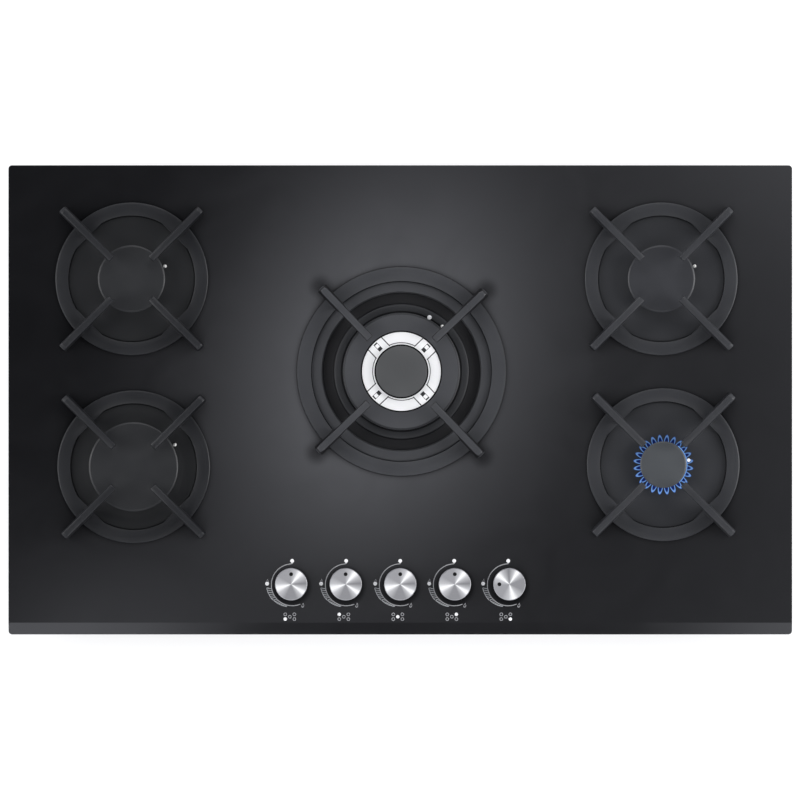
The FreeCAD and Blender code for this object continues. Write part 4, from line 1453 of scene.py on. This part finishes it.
    def deck(self) -> list[Object]:
        """Models the bright plates on the deck: four panels, and one frame of bridges round the inner cap.

        Returns:
            The plates, and the four tongues in the bridges' slots.
        """
        ring, inner = Place.of("wok_ring_cap"), Place.of("wok_inner_cap")
        low = GLASS_TOP + self.deck_rise - self.rebate
        high = GLASS_TOP + self.deck_rise
        inside = inner.half_x - self.plate_overlap
        plate = [(inside, low), (self.deck_r, low), (self.deck_r, high), (inside, high)]
        plates = spun("deck_plate", plate, 0.0, 0.0, self.facets)
        joint, depth = self.joint_width, 3 * self.rebate
        tongues = []
        for quarter in range(4):
            place = turn_about(0.0, 0.0, FIRST_ARM + QUARTER * quarter + WOK_TURN)
            for side in (-1, 1):
                y = side * (self.bridge_half + joint / 2)
                x = (self.groove_r + self.deck_r) / 2
                cut = block("cut", (x, y, high), (self.deck_r - self.groove_r + self.joint_play, joint, depth))
                cut.data.transform(place)
                boolean(plates, cut, "DIFFERENCE")
            boolean(plates, self.groove(low, high, QUARTER * quarter + WOK_TURN), "DIFFERENCE")
            middle = (self.deck_r + inner.half_x) / 2 + self.slot_offset
            cut = block("cut", (middle, 0.0, high), (self.slot_length, self.slot_width, depth))
            cut.data.transform(place)
            boolean(plates, cut, "DIFFERENCE")
            tongue = block("tongue", (self.deck_r - self.tongue_inset, 0.0, high - self.tongue_height / 2),
                           (self.tongue_length, self.slot_width - self.tongue_play, self.tongue_height))
            bevel(tongue, self.tongue_bevel).data.transform(place)
            tongue.data.transform(shift(ring.x, ring.y))
            tongues.append(tongue)
        plates.data.transform(shift(ring.x, ring.y))
        return [smooth(named(plates, "deck_plates")), smooth(joined("deck_tongues", tongues))]

    def groove(self, low: float, high: float, middle: float) -> Object:
        """Models the cutter of the arc groove between a panel and the frame.

        Args:
            low: Underside of the plates, in millimetres.
            high: Their top.
            middle: Bearing of the groove's middle, in degrees.

        Returns:
            The cutter.
        """
        half = QUARTER / 2 - math.degrees(math.asin(self.bridge_half / self.groove_r))
        line = arc_points(0.0, 0.0, self.groove_r, middle - half, middle + half, self.groove_steps)
        line += arc_points(0.0, 0.0, self.groove_r + self.groove_width, middle + half, middle - half,
                           self.groove_steps)
        outline = [point + Vector((0.0, 0.0, low - self.cutter_play)) for point in line]
        return slab("cut", outline, Vector((0.0, 0.0, high - low + 2 * self.cutter_play)))

    def ring_cap(self) -> Object:
        """Turns the ring cap with soft edges.

        Returns:
            The cap.
        """
        ring = Place.of("wok_ring_cap")
        inner = self.cap_bore_r
        inset, drop = self.bore_edge
        rim = turned_profile(ring.low, ring.high, ring.half_x, self.ring_rim, self.ring_foot)[1:-1]
        profile = [(inner + self.bore_foot, ring.low), *rim, (inner + inset, ring.high), (inner, ring.high - drop),
                   (inner, ring.low + self.bore_foot)]
        return smooth(spun("ring_cap", profile, ring.x, ring.y, self.facets))

    def inner_cap(self) -> Object:
        """Turns the inner cap.

        Returns:
            The cap.
        """
        cap = Place.of("wok_inner_cap")
        profile = turned_profile(cap.low, cap.high, cap.half_x - self.inner_inset, self.inner_rim, self.inner_foot)
        return smooth(spun("inner_cap", profile, cap.x, cap.y, self.inner_facets))


@dataclass(frozen=True)
class Burners:
    """Dishes, crowns and caps of the five burners."""

    finishes: Finishes
    wok: WokBurner = WokBurner()
    small: tuple[SmallBurner, ...] = (
        SmallBurner(BurnerKind.REAR_LEFT, 24), SmallBurner(BurnerKind.FRONT_LEFT, 30),
        SmallBurner(BurnerKind.REAR_RIGHT, 24), SmallBurner(BurnerKind.FRONT_RIGHT, 24))

    def build(self) -> None:
        """Models every burner."""
        for burner in self.small:
            name = burner.kind.value
            lit = burner.kind is BurnerKind.FRONT_RIGHT
            plain = self.finishes.enamel[burner.kind.side]
            # Painted light: the lit burner's cap gets a lighter enamel.
            enamel = self.finishes.painted_light_enamel if lit else plain
            finish_piece(burner.dish(), "root", self.finishes.dish_enamel[burner.kind.side],
                         ["burner_bases"])
            finish_piece(burner.crown(), "root", self.finishes.cast_aluminium, ["flame_crowns"])
            finish_piece(burner.cap(), "cap_" + name, enamel, ["burner_cap_" + name])
        enamel = self.finishes.enamel[Side.CENTRE]
        dish = finish_piece(self.wok.base(), "root", enamel, ["burner_bases"])
        # Painted shade: the trough near black.
        dress_faces(dish, self.finishes.painted_shade_enamel, self.wok.in_trough)
        dress_faces(dish, self.finishes.step_enamel, self.wok.on_step)
        crown = finish_piece(self.wok.crown(), "root", self.finishes.cast_aluminium,
                             ["flame_crowns"])
        # Dark grey on the crown's upward faces: painted shade where they show through the deck's cuts, soot on the
        # ports' floors.
        dress_faces(crown, self.finishes.blackened_and_shaded_aluminium, lambda at, normal: normal.z > 0.9)
        for piece in self.wok.deck():
            finish_piece(piece, "root", self.finishes.bright_aluminium)
        ring_cap = finish_piece(self.wok.ring_cap(), "cap_wok_ring", enamel, ["wok_ring_cap"])
        inner_cap = finish_piece(self.wok.inner_cap(), "cap_wok_inner", self.finishes.inner_painted_light,
                                 ["wok_inner_cap"])
        dress_faces(ring_cap, self.finishes.step_enamel, self.wok.on_cap_rim)
        for cap in (ring_cap, inner_cap):
            # Painted shade: black on the caps' steep edges beside the deck.
            dress_faces(cap, self.finishes.gap_painted_shade, self.wok.beside_deck)


# ================================================================ electrodes
@dataclass(frozen=True)
class Electrodes:
    """Spark electrodes, a ceramic with a steel pin each, and the thermocouple with its slotted tip."""

    finishes: Finishes
    pin_r: float = 0.45
    pin_length: float = 1.6
    ceramic_edge: tuple[Corner, ...] = ((0.0, 3.0), (0.25, 2.4), (0.45, 0.4), (0.8, 0.0))
    pin_edge: tuple[Corner, ...] = ((0.0, 0.3), (0.3, 0.0))
    tip_edge: tuple[Corner, ...] = ((0.0, 0.5), (0.5, 0.0))
    slot: float = 0.8
    slot_depth: float = 0.6
    rod_pitch: float = 12.0

    def build(self) -> None:
        """Reads each electrode's place from the frame's solids and models it there."""
        pins = []
        bodies = []
        for x, y, low, high, radius in self.places("spark_electrodes"):
            body_high = high - self.pin_length
            bodies.append(spun("ceramic", turned_profile(low, body_high, radius, self.ceramic_edge), x, y, 24))
            pins.append(spun("pin", turned_profile(body_high, high, self.pin_r, self.pin_edge), x, y, 16))
        finish_piece(smooth(joined("electrode_ceramics", bodies)), "root", self.finishes.ceramic,
                     ["spark_electrodes"])
        finish_piece(smooth(joined("electrode_pins", pins)), "root", self.finishes.stainless)
        x, y, low, high, radius = self.places("thermocouple")[0]
        tip = spun("thermocouple_tip", turned_profile(low, high, radius, self.tip_edge), x, y, 32)
        boolean(tip, block("cut", (x, y, high), (2 * radius + 1.0, self.slot, 2 * self.slot_depth)), "DIFFERENCE")
        finish_piece(smooth(tip), "root", self.finishes.bright_aluminium, ["thermocouple"])

    def places(self, node: str) -> list[tuple[float, float, float, float, float]]:
        """Finds the separate rods of a CAD node.

        Args:
            node: Name of the node.

        Returns:
            Axis, foot, top and radius of each rod, in millimetres.
        """
        clusters: list[list[Vector]] = []
        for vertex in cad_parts[node].data.vertices:
            at = vertex.co / MM
            home = next((c for c in clusters if (c[0].xy - at.xy).length < self.rod_pitch), None)
            if home is None:
                clusters.append([at])
            else:
                home.append(at)
        rods = []
        for cluster in clusters:
            xs, ys, zs = zip(*cluster)
            rods.append(((min(xs) + max(xs)) / 2, (min(ys) + max(ys)) / 2, min(zs), max(zs),
                         (max(xs) - min(xs)) / 2))
        return rods


@dataclass(frozen=True)
class GasFlames:
    """Ring of small flames at the ports of the front right burner."""

    finishes: Finishes
    count: int = 24
    reach: float = 8.9
    width: float = 5.7
    height: float = 3.6
    lift: float = 12.6
    root_inset: float = 1.2
    root_arc: tuple[float, float] = (-46.0, 52.0)
    root_width: float = 0.9
    root_rise: float = 0.5
    root_height: float = 0.4
    tip_r: float = 1.9
    tip_at: float = 28.2
    tip_bearing: float = 10.0
    tip_drop: float = 2.0
    tip_rise: float = 1.4
    tip_edge: tuple[Corner, ...] = ((0.0, 0.8), (0.76, 0.2))
    tip_foot: tuple[Corner, ...] = ((0.0, 1.0),)

    def flame(self) -> Object:
        """Models one flame along +X: a ball drawn out to a tip, with its own map across its width.

        Returns:
            The flame.
        """
        bpy.ops.object.select_all(action="DESELECT")
        bpy.ops.mesh.primitive_uv_sphere_add(segments=16, ring_count=10, radius=MM, rotation=(0.0, math.pi / 2, 0.0))
        flame = named(bpy.context.object, "flame")
        bpy.ops.object.transform_apply(location=True, rotation=True, scale=True)
        open_edit(flame)
        bpy.ops.mesh.select_all(action="SELECT")
        bpy.ops.mesh.bisect(plane_co=(0.0, 0.0, 0.0), plane_no=(1.0, 0.0, 0.0), clear_inner=True, use_fill=True)
        bpy.ops.mesh.select_all(action="SELECT")
        bpy.ops.transform.resize(value=(self.reach, self.width / 2, self.height / 2),
                                 center_override=(0.0, 0.0, 0.0))
        close_edit()
        layer = flame.data.uv_layers.active
        layer.name = "flame"
        for loop, uv in zip(flame.data.loops, layer.data):
            at = flame.data.vertices[loop.vertex_index].co / MM
            uv.uv = (at.x / self.reach, 2 * at.y / self.width)
        return smooth(flame)

    def build(self) -> None:
        """Copies the flame round the burner, and adds the glowing root beside the electrode."""
        cap = Place.of("burner_cap_front_right")
        model = self.flame()
        flames = []
        for index in range(self.count):
            bearing = (index + 0.5) * 360.0 / self.count
            out = shift(cap.half_x - self.root_inset, 0.0, GLASS_TOP + self.lift)
            move = shift(cap.x, cap.y) @ turn_about(0.0, 0.0, bearing) @ out
            flames.append(copied(model, "flame_copy", move))
        bpy.data.objects.remove(model)
        finish_piece(joined("gas_flames", flames), "root", self.finishes.flame)
        low = GLASS_TOP + self.lift + self.height / 2 + self.root_rise
        base = Vector((cap.x, cap.y, low))
        inner = arc_points(0.0, 0.0, cap.half_x, *self.root_arc, 24)
        outer = arc_points(0.0, 0.0, cap.half_x + self.root_width, *self.root_arc, 24)
        root = slab("flame_root", [base + point for point in inner + outer[::-1]], Vector((0.0, 0.0, self.root_height)))
        finish_piece(smooth(root), "root", self.finishes.flame_root)
        # Painted glow: a near-white bead at the electrode's tip that shines by itself.
        turn = math.radians(self.tip_bearing)
        tip = turned_profile(low - self.tip_drop, low + self.tip_rise, self.tip_r, self.tip_edge, self.tip_foot)
        bead = spun("electrode_glow", tip, cap.x + self.tip_at * math.cos(turn),
                    cap.y + self.tip_at * math.sin(turn), 24)
        finish_piece(smooth(bead), "root", self.finishes.tip_painted_glow)


# ================================================================ knobs and their dials
@dataclass(frozen=True)
class ControlKnob:
    """Turned knob: spun top, crisp bevel, satin side and a black pointer dot."""

    burner: str
    turned: float = 0.0
    edge: tuple[Corner, ...] = ((0.0, 0.6), (0.6, 0.0))
    foot: tuple[Corner, ...] = ((2.0, 0.0), (0.8, 1.2), (0.0, 2.64))
    dot_r: float = 2.1
    dot_at: float = 11.0
    dot_rise: float = 0.06
    dot_sink: float = 0.3
    dot_edge: tuple[Corner, ...] = ((0.0, 0.02), (0.1, 0.0))
    bore_r: float = 4.2
    bore_depth: float = 15.0

    def body(self) -> Object:
        """Turns the knob and maps its top flat about its axis.

        Returns:
            The knob.
        """
        place = Place.of("knob_" + self.burner)
        bore_end = place.low + self.bore_depth
        outside = turned_profile(place.low, place.high - self.dot_rise, place.half_x, self.edge, self.foot)[1:]
        corners = [(0.0, bore_end), (self.bore_r, bore_end), (self.bore_r, place.low), *outside]
        knob = spun("control_knob_" + self.burner, corners, place.x, place.y, 96)
        layer = knob.data.uv_layers.new(name="turned")
        centre = Vector((place.x, place.y, 0.0)) * MM
        back = Matrix.Rotation(math.radians(180.0 - self.turned - SpunAluminium.seam), 4, "Z")
        for loop, uv in zip(knob.data.loops, layer.data):
            at = back @ (knob.data.vertices[loop.vertex_index].co - centre)
            uv.uv = (at.x, at.y)
        return smooth(knob)

    def pointer(self) -> Object:
        """Models the lacquered dot near the top's edge.

        Returns:
            The dot.
        """
        place = Place.of("knob_" + self.burner)
        turn = math.radians(90.0 + self.turned)
        x = place.x + self.dot_at * math.cos(turn)
        y = place.y + self.dot_at * math.sin(turn)
        low = place.high - self.dot_rise - self.dot_sink
        profile = turned_profile(low, place.high, self.dot_r, self.dot_edge)
        return smooth(spun("pointer_" + self.burner, profile, x, y, 32))


@dataclass(frozen=True)
class Dial:
    """Printed marks round one knob: off dot, arc, flame signs, hatched wedge and burner sign."""

    burner: str
    x: float
    finishes: Finishes
    y: float = -202.95
    ink: float = 0.08
    white_rise: float = 0.04
    arc_r: float = 23.0
    arc_width: float = 0.9
    arc_start: float = 92.0
    arc_end: float = 293.0
    off_x: float = -0.1
    off_y: float = 26.3
    off_r: float = 2.1
    tail: tuple[tuple[Corner, ...], ...] = (((-0.5, 24.5), (-2.2, 23.3)), ((0.7, 24.5), (0.3, 22.8)))
    sign_x: float = -2.7
    sign_y: float = -35.0
    sign_dx: float = 5.0
    sign_dy: float = 2.6
    ring_r: float = 1.9
    ring_width: float = 0.7
    full_dot: Corner = (-27.6, 1.3)
    full_sign: tuple[float, ...] = (-27.4, 3.4, 4.9, 6.8, 0.6)
    low_sign: tuple[float, ...] = (11.7, -22.2, 4.2, 5.4, 0.8)
    bands: tuple[tuple[float, ...], ...] = ((187.0, 218.0, 28.6, 27.4), (219.0, 256.0, 26.9, 24.9))
    band_line: float = 0.8
    band_steps: int = 8
    stroke_pitch: float = 4.8
    stroke_gap: float = 0.6
    stroke_foot: float = 1.9
    stroke_head: Corner = (3.5, 1.9)
    facets: int = 28

    def strip(self, inner: list[Vector], outer: list[Vector]) -> Object:
        """Fills the band between two lines and gives it the ink's thickness.

        Args:
            inner: Points of one line, in millimetres from the dial's axis.
            outer: As many points of the other line.

        Returns:
            The mark.
        """
        base = Vector((self.x, self.y, GLASS_TOP + INK_LIFT))
        outline = [base + point for point in inner + outer[::-1]]
        return slab("mark", outline, Vector((0.0, 0.0, self.ink)))

    def arc(self, radius: float, width: float, start: float, end: float) -> Object:
        """Models an arc stroke of even width.

        Args:
            radius: Radius of the stroke's middle, in millimetres.
            width: Width of the stroke.
            start: First bearing, in degrees.
            end: Last bearing, in degrees.

        Returns:
            The mark.
        """
        steps = max(4, int(abs(end - start) / 5))
        return self.strip(arc_points(0.0, 0.0, radius - width / 2, start, end, steps),
                          arc_points(0.0, 0.0, radius + width / 2, start, end, steps))

    def spot(self, x: float, y: float, radius: float, inner: float = 0.0) -> Object:
        """Models a round mark; one that is filled lies a little thicker.

        Args:
            x: Middle, in millimetres from the dial's axis.
            y: Middle, likewise.
            radius: Radius of the mark.
            inner: Radius of the glass left open inside it.

        Returns:
            The mark.
        """
        low = GLASS_TOP + INK_LIFT
        high = low + self.ink + (0.0 if inner else self.white_rise)
        profile = [(inner, low), (radius, low), (radius, high), (inner, high)]
        return spun("mark", profile, self.x + x, self.y + y, self.facets)

    def drop(self, x: float, y: float, width: float, height: float, stroke: float) -> Object:
        """Models the outline of a flame in two halves: a round foot drawn up to a tip, slightly leaning.

        Args:
            x: Middle, in millimetres from the dial's axis.
            y: Middle, likewise.
            width: Width of the flame.
            height: Height of the flame.
            stroke: Width of its line.

        Returns:
            The mark.
        """
        outer = self.drop_line(x, y, width, height)
        inner = self.drop_line(x, y - 0.1, width - 2 * stroke, height - 2.6 * stroke)
        half = len(outer) // 2
        return joined("mark", [self.strip(inner[:half + 1], outer[:half + 1]),
                               self.strip(inner[half:], outer[half:])])

    def drop_line(self, x: float, y: float, width: float, height: float) -> list[Vector]:
        """Lists the points of a flame's outline.

        Args:
            x: Middle, in millimetres from the dial's axis.
            y: Middle, likewise.
            width: Width of the flame.
            height: Height of the flame.

        Returns:
            The points, of which the last is the first again.
        """
        points = []
        for step in range(25):
            turn = 2 * math.pi * step / 24
            lift = math.cos(turn)
            pinch = math.sin(turn / 2) ** 1.6
            points.append(Vector((x + math.sin(turn) * pinch * width / 2 + 0.12 * lift * width,
                                  y + lift * height / 2, 0.0)))
        return points

    def build(self) -> None:
        """Models every mark and joins those of one ink."""
        white = [self.spot(self.off_x, self.off_y, self.off_r), self.spot(*self.full_dot, self.off_r)]
        grey = [self.arc(self.arc_r, self.arc_width, self.arc_start, self.arc_end),
                self.strip(*([Vector((x, y, 0.0)) for x, y in line] for line in self.tail)),
                self.drop(*self.full_sign), self.drop(*self.low_sign)]
        for column in (-1, 0, 1):
            for row in ((0,) if column == 0 else (-1, 1)):
                place = (self.sign_x + column * self.sign_dx, self.sign_y + row * self.sign_dy)
                if (column, row) == SIGN_OF[self.burner]:
                    white.append(self.spot(*place, self.ring_r))
                else:
                    grey.append(self.spot(*place, self.ring_r, self.ring_r - self.ring_width))
        hatch = self.wedge()
        finish_piece(joined("dial_dots_" + self.burner, white), "root", self.finishes.ink)
        finish_piece(joined("dial_lines_" + self.burner, grey), "root", self.finishes.grey_ink)
        finish_piece(joined("dial_hatch_" + self.burner, hatch), "root", self.finishes.hatch_ink)

    def wedge(self) -> list[Object]:
        """Models the band that narrows as the flame goes down: two stepped edges with slanted strokes between.

        Returns:
            The marks.
        """
        marks = []
        for start, end, first, last in self.bands:
            outer = []
            inner = []
            for step in range(self.band_steps + 1):
                share = step / self.band_steps
                turn = math.radians(start + (end - start) * share)
                reach = first + (last - first) * share
                outer.append(Vector((reach * math.cos(turn), reach * math.sin(turn), 0.0)))
                inner.append(outer[-1] * (1 - self.band_line / reach))
            marks.append(self.strip(inner, outer))
            count = int((end - start) / self.stroke_pitch)
            for index in range(count):
                share = (index + 0.5) / count
                turn = start + (end - start) * share
                reach = first + (last - first) * share - self.stroke_gap
                foot = arc_points(0.0, 0.0, self.arc_r + self.arc_width / 2, turn, turn + self.stroke_foot, 1)
                head = arc_points(0.0, 0.0, reach, turn - self.stroke_head[0], turn - self.stroke_head[1], 1)
                marks.append(self.strip(foot, head))
        return marks


PRINT_PITCH_SHARE = 0.9913    # the print's own pitch to the knobs'
# Column and row of the filled dot in each burner's sign.
SIGN_OF = {"front_left": (-1, -1), "rear_left": (-1, 1), "centre": (0, 0), "rear_right": (1, 1),
           "front_right": (1, -1)}


@dataclass(frozen=True)
class Controls:
    """The row of knobs and the dials printed round them."""

    finishes: Finishes
    knobs: tuple[ControlKnob, ...] = (
        ControlKnob("front_left"), ControlKnob("rear_left"), ControlKnob("centre"), ControlKnob("rear_right"),
        ControlKnob("front_right", 90.0))

    def build(self) -> None:
        """Models each knob, its dot and its dial."""
        for knob in self.knobs:
            body = "tap_push_" + knob.burner
            piece = finish_piece(knob.body(), body, self.finishes.knob_top,
                                 ["knob_" + knob.burner])
            dress_faces(piece, self.finishes.knob_side, lambda _, normal: normal.z < 0.9)
            finish_piece(knob.pointer(), body, self.finishes.pointer)
            place = Place.of("knob_" + knob.burner)
            Dial(knob.burner, place.x * PRINT_PITCH_SHARE, self.finishes).build()


# ================================================================ carried-over solids
@dataclass(frozen=True)
class CarriedSolids:
    """Every CAD node that stays in view."""

    finishes: Finishes

    def build(self) -> None:
        """Gives each node its finish, by its name or by how its name begins."""
        made = self.finishes
        by_name = {
            "glass_worktop": made.glass, "worktop_seal": made.foam, "base_tray": made.galvanised,
            "fixing_clips": made.spring, "gas_manifold": made.plated, "gas_inlet_elbow": made.brass,
            "gas_pipes": made.drawn_aluminium, "jet_holders": made.cast_aluminium, "injectors": made.brass,
            "burner_brackets": made.galvanised, "tap_bodies": made.cast_aluminium, "tap_clamps": made.plated,
            "shaft_seals": made.silicone, "ignition_leads": made.silicone, "spark_generator": made.plastic,
            "ignition_switches": made.plastic, "terminal_block": made.plastic, "cable_gland": made.plastic,
        }
        by_prefix = {"support_pads_": made.silicone, "tap_spindle_": made.stainless, "tap_plug_": made.brass}
        for name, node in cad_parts.items():
            material = by_name.get(name)
            for prefix, finish in by_prefix.items():
                if name.startswith(prefix):
                    material = finish
            if material is not None:
                node.data.materials.clear()
                node.data.materials.append(material)
                LOG.info("node %s dressed", name)


# ================================================================ studio
@dataclass(frozen=True)
class SkyGlow:
    """Soft oval glow in the studio's ceiling, placed and sized in millimetres as the glass mirrors it."""

    x: float
    y: float
    half_x: float
    half_y: float
    turn: float
    strength: float


@dataclass(frozen=True)
class Lamp:
    """Large soft lamp that looks at the hob."""

    name: str
    bearing: float
    climb: float
    distance: float
    size: float
    power: float


@dataclass(frozen=True)
class Studio:
    """Straight-down camera, white floor, soft ceiling and lamps.

    The walls are stops of slope and level, from eye level up to straight overhead. The wings stand in the sky's front
    between two slopes. The glows, the wings and the lamps are placed as the glass mirrors them. The camera sees as far
    as far_clip, in metres.
    """

    camera_height: float = 15000.0
    frame_width: float = 878.0
    sensor: float = 36.0
    aim_x: float = -0.3
    aim_y: float = -0.1
    floor_size: float = 12000.0
    floor_low: float = 0.5
    far_clip: float = 100.0
    walls: tuple[Corner, ...] = ((0.0, 1.0), (0.2, 0.9), (0.5, 0.5), (0.76, 0.37), (0.92, 0.155), (1.0, 0.155))
    tint: str = "#F4F6FF"
    wings: float = 1.75
    wing_middle: float = 55.0
    wing_start: float = 190.0
    wing_full: float = 390.0
    wing_end: float = 1500.0
    wing_low: float = 0.5
    wing_high: float = 0.6
    wing_top: float = 0.65
    paper: str = "#B2B2B2"
    paper_glow: float = 0.7
    glows: tuple[SkyGlow, ...] = (
        SkyGlow(-19.0, 42.0, 133.0, 193.0, -21.0, 3.65),
        SkyGlow(520.0, 420.0, 250.0, 230.0, -14.4, 1.5),
        SkyGlow(560.0, -110.0, 310.0, 700.0, 0.0, 0.53),
        SkyGlow(40.0, -330.0, 480.0, 110.0, 0.0, 0.28),
        SkyGlow(-324.0, -286.0, 132.0, 103.0, 12.6, 1.06),
    )
    lamps: tuple[Lamp, ...] = (
        Lamp("left_lamp", 178.0, 38.0, 2600.0, 1500.0, 29.0),
        Lamp("right_lamp", 2.0, 30.0, 2600.0, 1500.0, 46.0),
        Lamp("rear_lamp", 90.0, 47.0, 2600.0, 1500.0, 15.0),
        Lamp("front_lamp", 270.0, 62.0, 2600.0, 900.0, 6.0),
    )

    def slope(self, length: float) -> float:
        """Slope from straight up at which the glass mirrors a point this far from the middle."""
        return length / (self.camera_height - GLASS_TOP)

    def build(self) -> None:
        """Sets up the camera, the floor, the sky and the lamps."""
        bpy.context.scene.view_settings.view_transform = "Standard"
        self.camera()
        self.floor()
        self.sky()
        for lamp in self.lamps:
            self.place_lamp(lamp)

    def camera(self) -> None:
        """Hangs the camera over the middle, so that the glass fills the photograph's width."""
        data = bpy.data.cameras.new("top_camera")
        camera = bpy.data.objects.new("top_camera", data)
        bpy.context.scene.collection.objects.link(camera)
        camera.location = Vector((self.aim_x, self.aim_y, self.camera_height)) * MM
        data.sensor_width = self.sensor
        data.lens = self.sensor * (self.camera_height - GLASS_TOP) / self.frame_width
        data.clip_end = self.far_clip
        bpy.context.scene.camera = camera

    def floor(self) -> None:
        """Lays a white floor that shows shadows and reads as white paper to the camera."""
        bpy.ops.object.select_all(action="DESELECT")
        bpy.ops.mesh.primitive_plane_add(size=self.floor_size * MM, location=(0.0, 0.0, -self.floor_low * MM))
        floor = named(bpy.context.object, "studio_floor")
        material, tree = new_tree("white_paper")
        rays = add_node(tree, "ShaderNodeLightPath")
        seen = maths(tree, "MAXIMUM", rays.outputs["Is Camera Ray"], rays.outputs["Is Glossy Ray"])
        seen = maths(tree, "MAXIMUM", seen, rays.outputs["Is Transmission Ray"])
        paper = add_node(tree, "ShaderNodeBsdfDiffuse", {"Color": linear(self.paper)})
        glow = add_node(tree, "ShaderNodeEmission", {"Strength": self.paper_glow})
        both = add_node(tree, "ShaderNodeAddShader", None,
                        {0: paper.outputs["BSDF"], 1: glow.outputs["Emission"]})
        mixed = add_node(tree, "ShaderNodeMixShader", None,
                         {"Fac": seen, 1: paper.outputs["BSDF"], 2: both.outputs["Shader"]})
        shown(tree, mixed.outputs["Shader"])
        floor.data.materials.append(material)

    def sky(self) -> None:
        """Paints the studio's walls and ceiling: white at eye level, dark overhead with soft glows."""
        world = bpy.data.worlds.new("studio")
        world.use_nodes = True
        bpy.context.scene.world = world
        tree = world.node_tree
        tree.nodes.clear()
        way = add_node(tree, "ShaderNodeTexCoord")
        parts = add_node(tree, "ShaderNodeSeparateXYZ", None, {"Vector": way.outputs["Generated"]})
        total = graded(tree, parts.outputs["Z"], self.walls, "EASE")
        slope = add_node(tree, "ShaderNodeCombineXYZ", None,
                         {axis: maths(tree, "DIVIDE", parts.outputs[axis], parts.outputs["Z"]) for axis in "XY"})
        for glow in self.glows:
            spot = add_node(tree, "ShaderNodeMapping",
                            {"vector_type": "TEXTURE",
                             "Location": (self.slope(glow.x), self.slope(glow.y), 0.0),
                             "Rotation": (0.0, 0.0, math.radians(glow.turn)),
                             "Scale": (self.slope(glow.half_x), self.slope(glow.half_y), 1.0)},
                            {"Vector": slope.outputs["Vector"]})
            square = add_node(tree, "ShaderNodeVectorMath", {"operation": "DOT_PRODUCT"},
                              {0: spot.outputs["Vector"], 1: spot.outputs["Vector"]})
            fade = maths(tree, "EXPONENT", maths(tree, "MULTIPLY", square.outputs["Value"], -1.0))
            total = maths(tree, "MULTIPLY_ADD", fade, glow.strength, total)
        total = self.add_wings(tree, parts, total)
        back = add_node(tree, "ShaderNodeBackground", {"Color": linear(self.tint)}, {"Strength": total})
        white = add_node(tree, "ShaderNodeBackground", {"Color": (1.0, 1.0, 1.0, 1.0)})
        rays = add_node(tree, "ShaderNodeLightPath")
        mixed = add_node(tree, "ShaderNodeMixShader", None,
                         {"Fac": rays.outputs["Is Camera Ray"], 1: back.outputs["Background"],
                          2: white.outputs["Background"]})
        add_node(tree, "ShaderNodeOutputWorld", None, {"Surface": mixed.outputs["Shader"]})

    def add_wings(self, tree: bpy.types.NodeTree, parts: Node, total: Socket) -> Socket:
        """Adds two soft wings, left and right of the front, that the glass's front bevel mirrors at its ends.

        Args:
            tree: The sky's node tree.
            parts: Node that splits the direction into X, Y and Z.
            total: Output socket of the sky's level so far.

        Returns:
            Output socket of the level with the wings.
        """
        aside = maths(tree, "ABSOLUTE", maths(tree, "SUBTRACT", parts.outputs["X"], self.slope(self.wing_middle)))
        share = 1.0
        for value, dark, full in ((aside, self.slope(self.wing_start), self.slope(self.wing_full)),
                                  (aside, self.slope(self.wing_end), self.slope(self.wing_full)),
                                  (parts.outputs["Y"], -self.wing_low, -self.wing_high),
                                  (parts.outputs["Z"], self.wing_low, self.wing_top)):
            share = maths(tree, "MULTIPLY", share, ranged(tree, value, (dark, full), smoothly=True))
        return maths(tree, "MULTIPLY_ADD", share, self.wings, total)

    def place_lamp(self, lamp: Lamp) -> None:
        """Hangs one square soft lamp and turns it to the middle of the hob.

        Args:
            lamp: The lamp.
        """
        data = bpy.data.lights.new(lamp.name, "AREA")
        data.shape = "SQUARE"
        data.size = lamp.size * MM
        data.energy = lamp.power
        obj = bpy.data.objects.new(lamp.name, data)
        bpy.context.scene.collection.objects.link(obj)
        climb, bearing = math.radians(lamp.climb), math.radians(lamp.bearing)
        way = Vector((math.cos(climb) * math.cos(bearing), math.cos(climb) * math.sin(bearing), math.sin(climb)))
        obj.location = way * lamp.distance * MM
        obj.rotation_euler = way.to_track_quat("Z", "Y").to_euler()


def main() -> None:
    """Builds the sub-assemblies in order, then the studio."""
    logging.basicConfig(level=logging.INFO, format="%(name)s: %(message)s")
    finishes = Finishes()
    CarriedSolids(finishes).build()
    PanSupports(finishes).build()
    Burners(finishes).build()
    Electrodes(finishes).build()
    GasFlames(finishes).build()
    Controls(finishes).build()
    Studio().build()


if __name__ == "__main__":
    main()
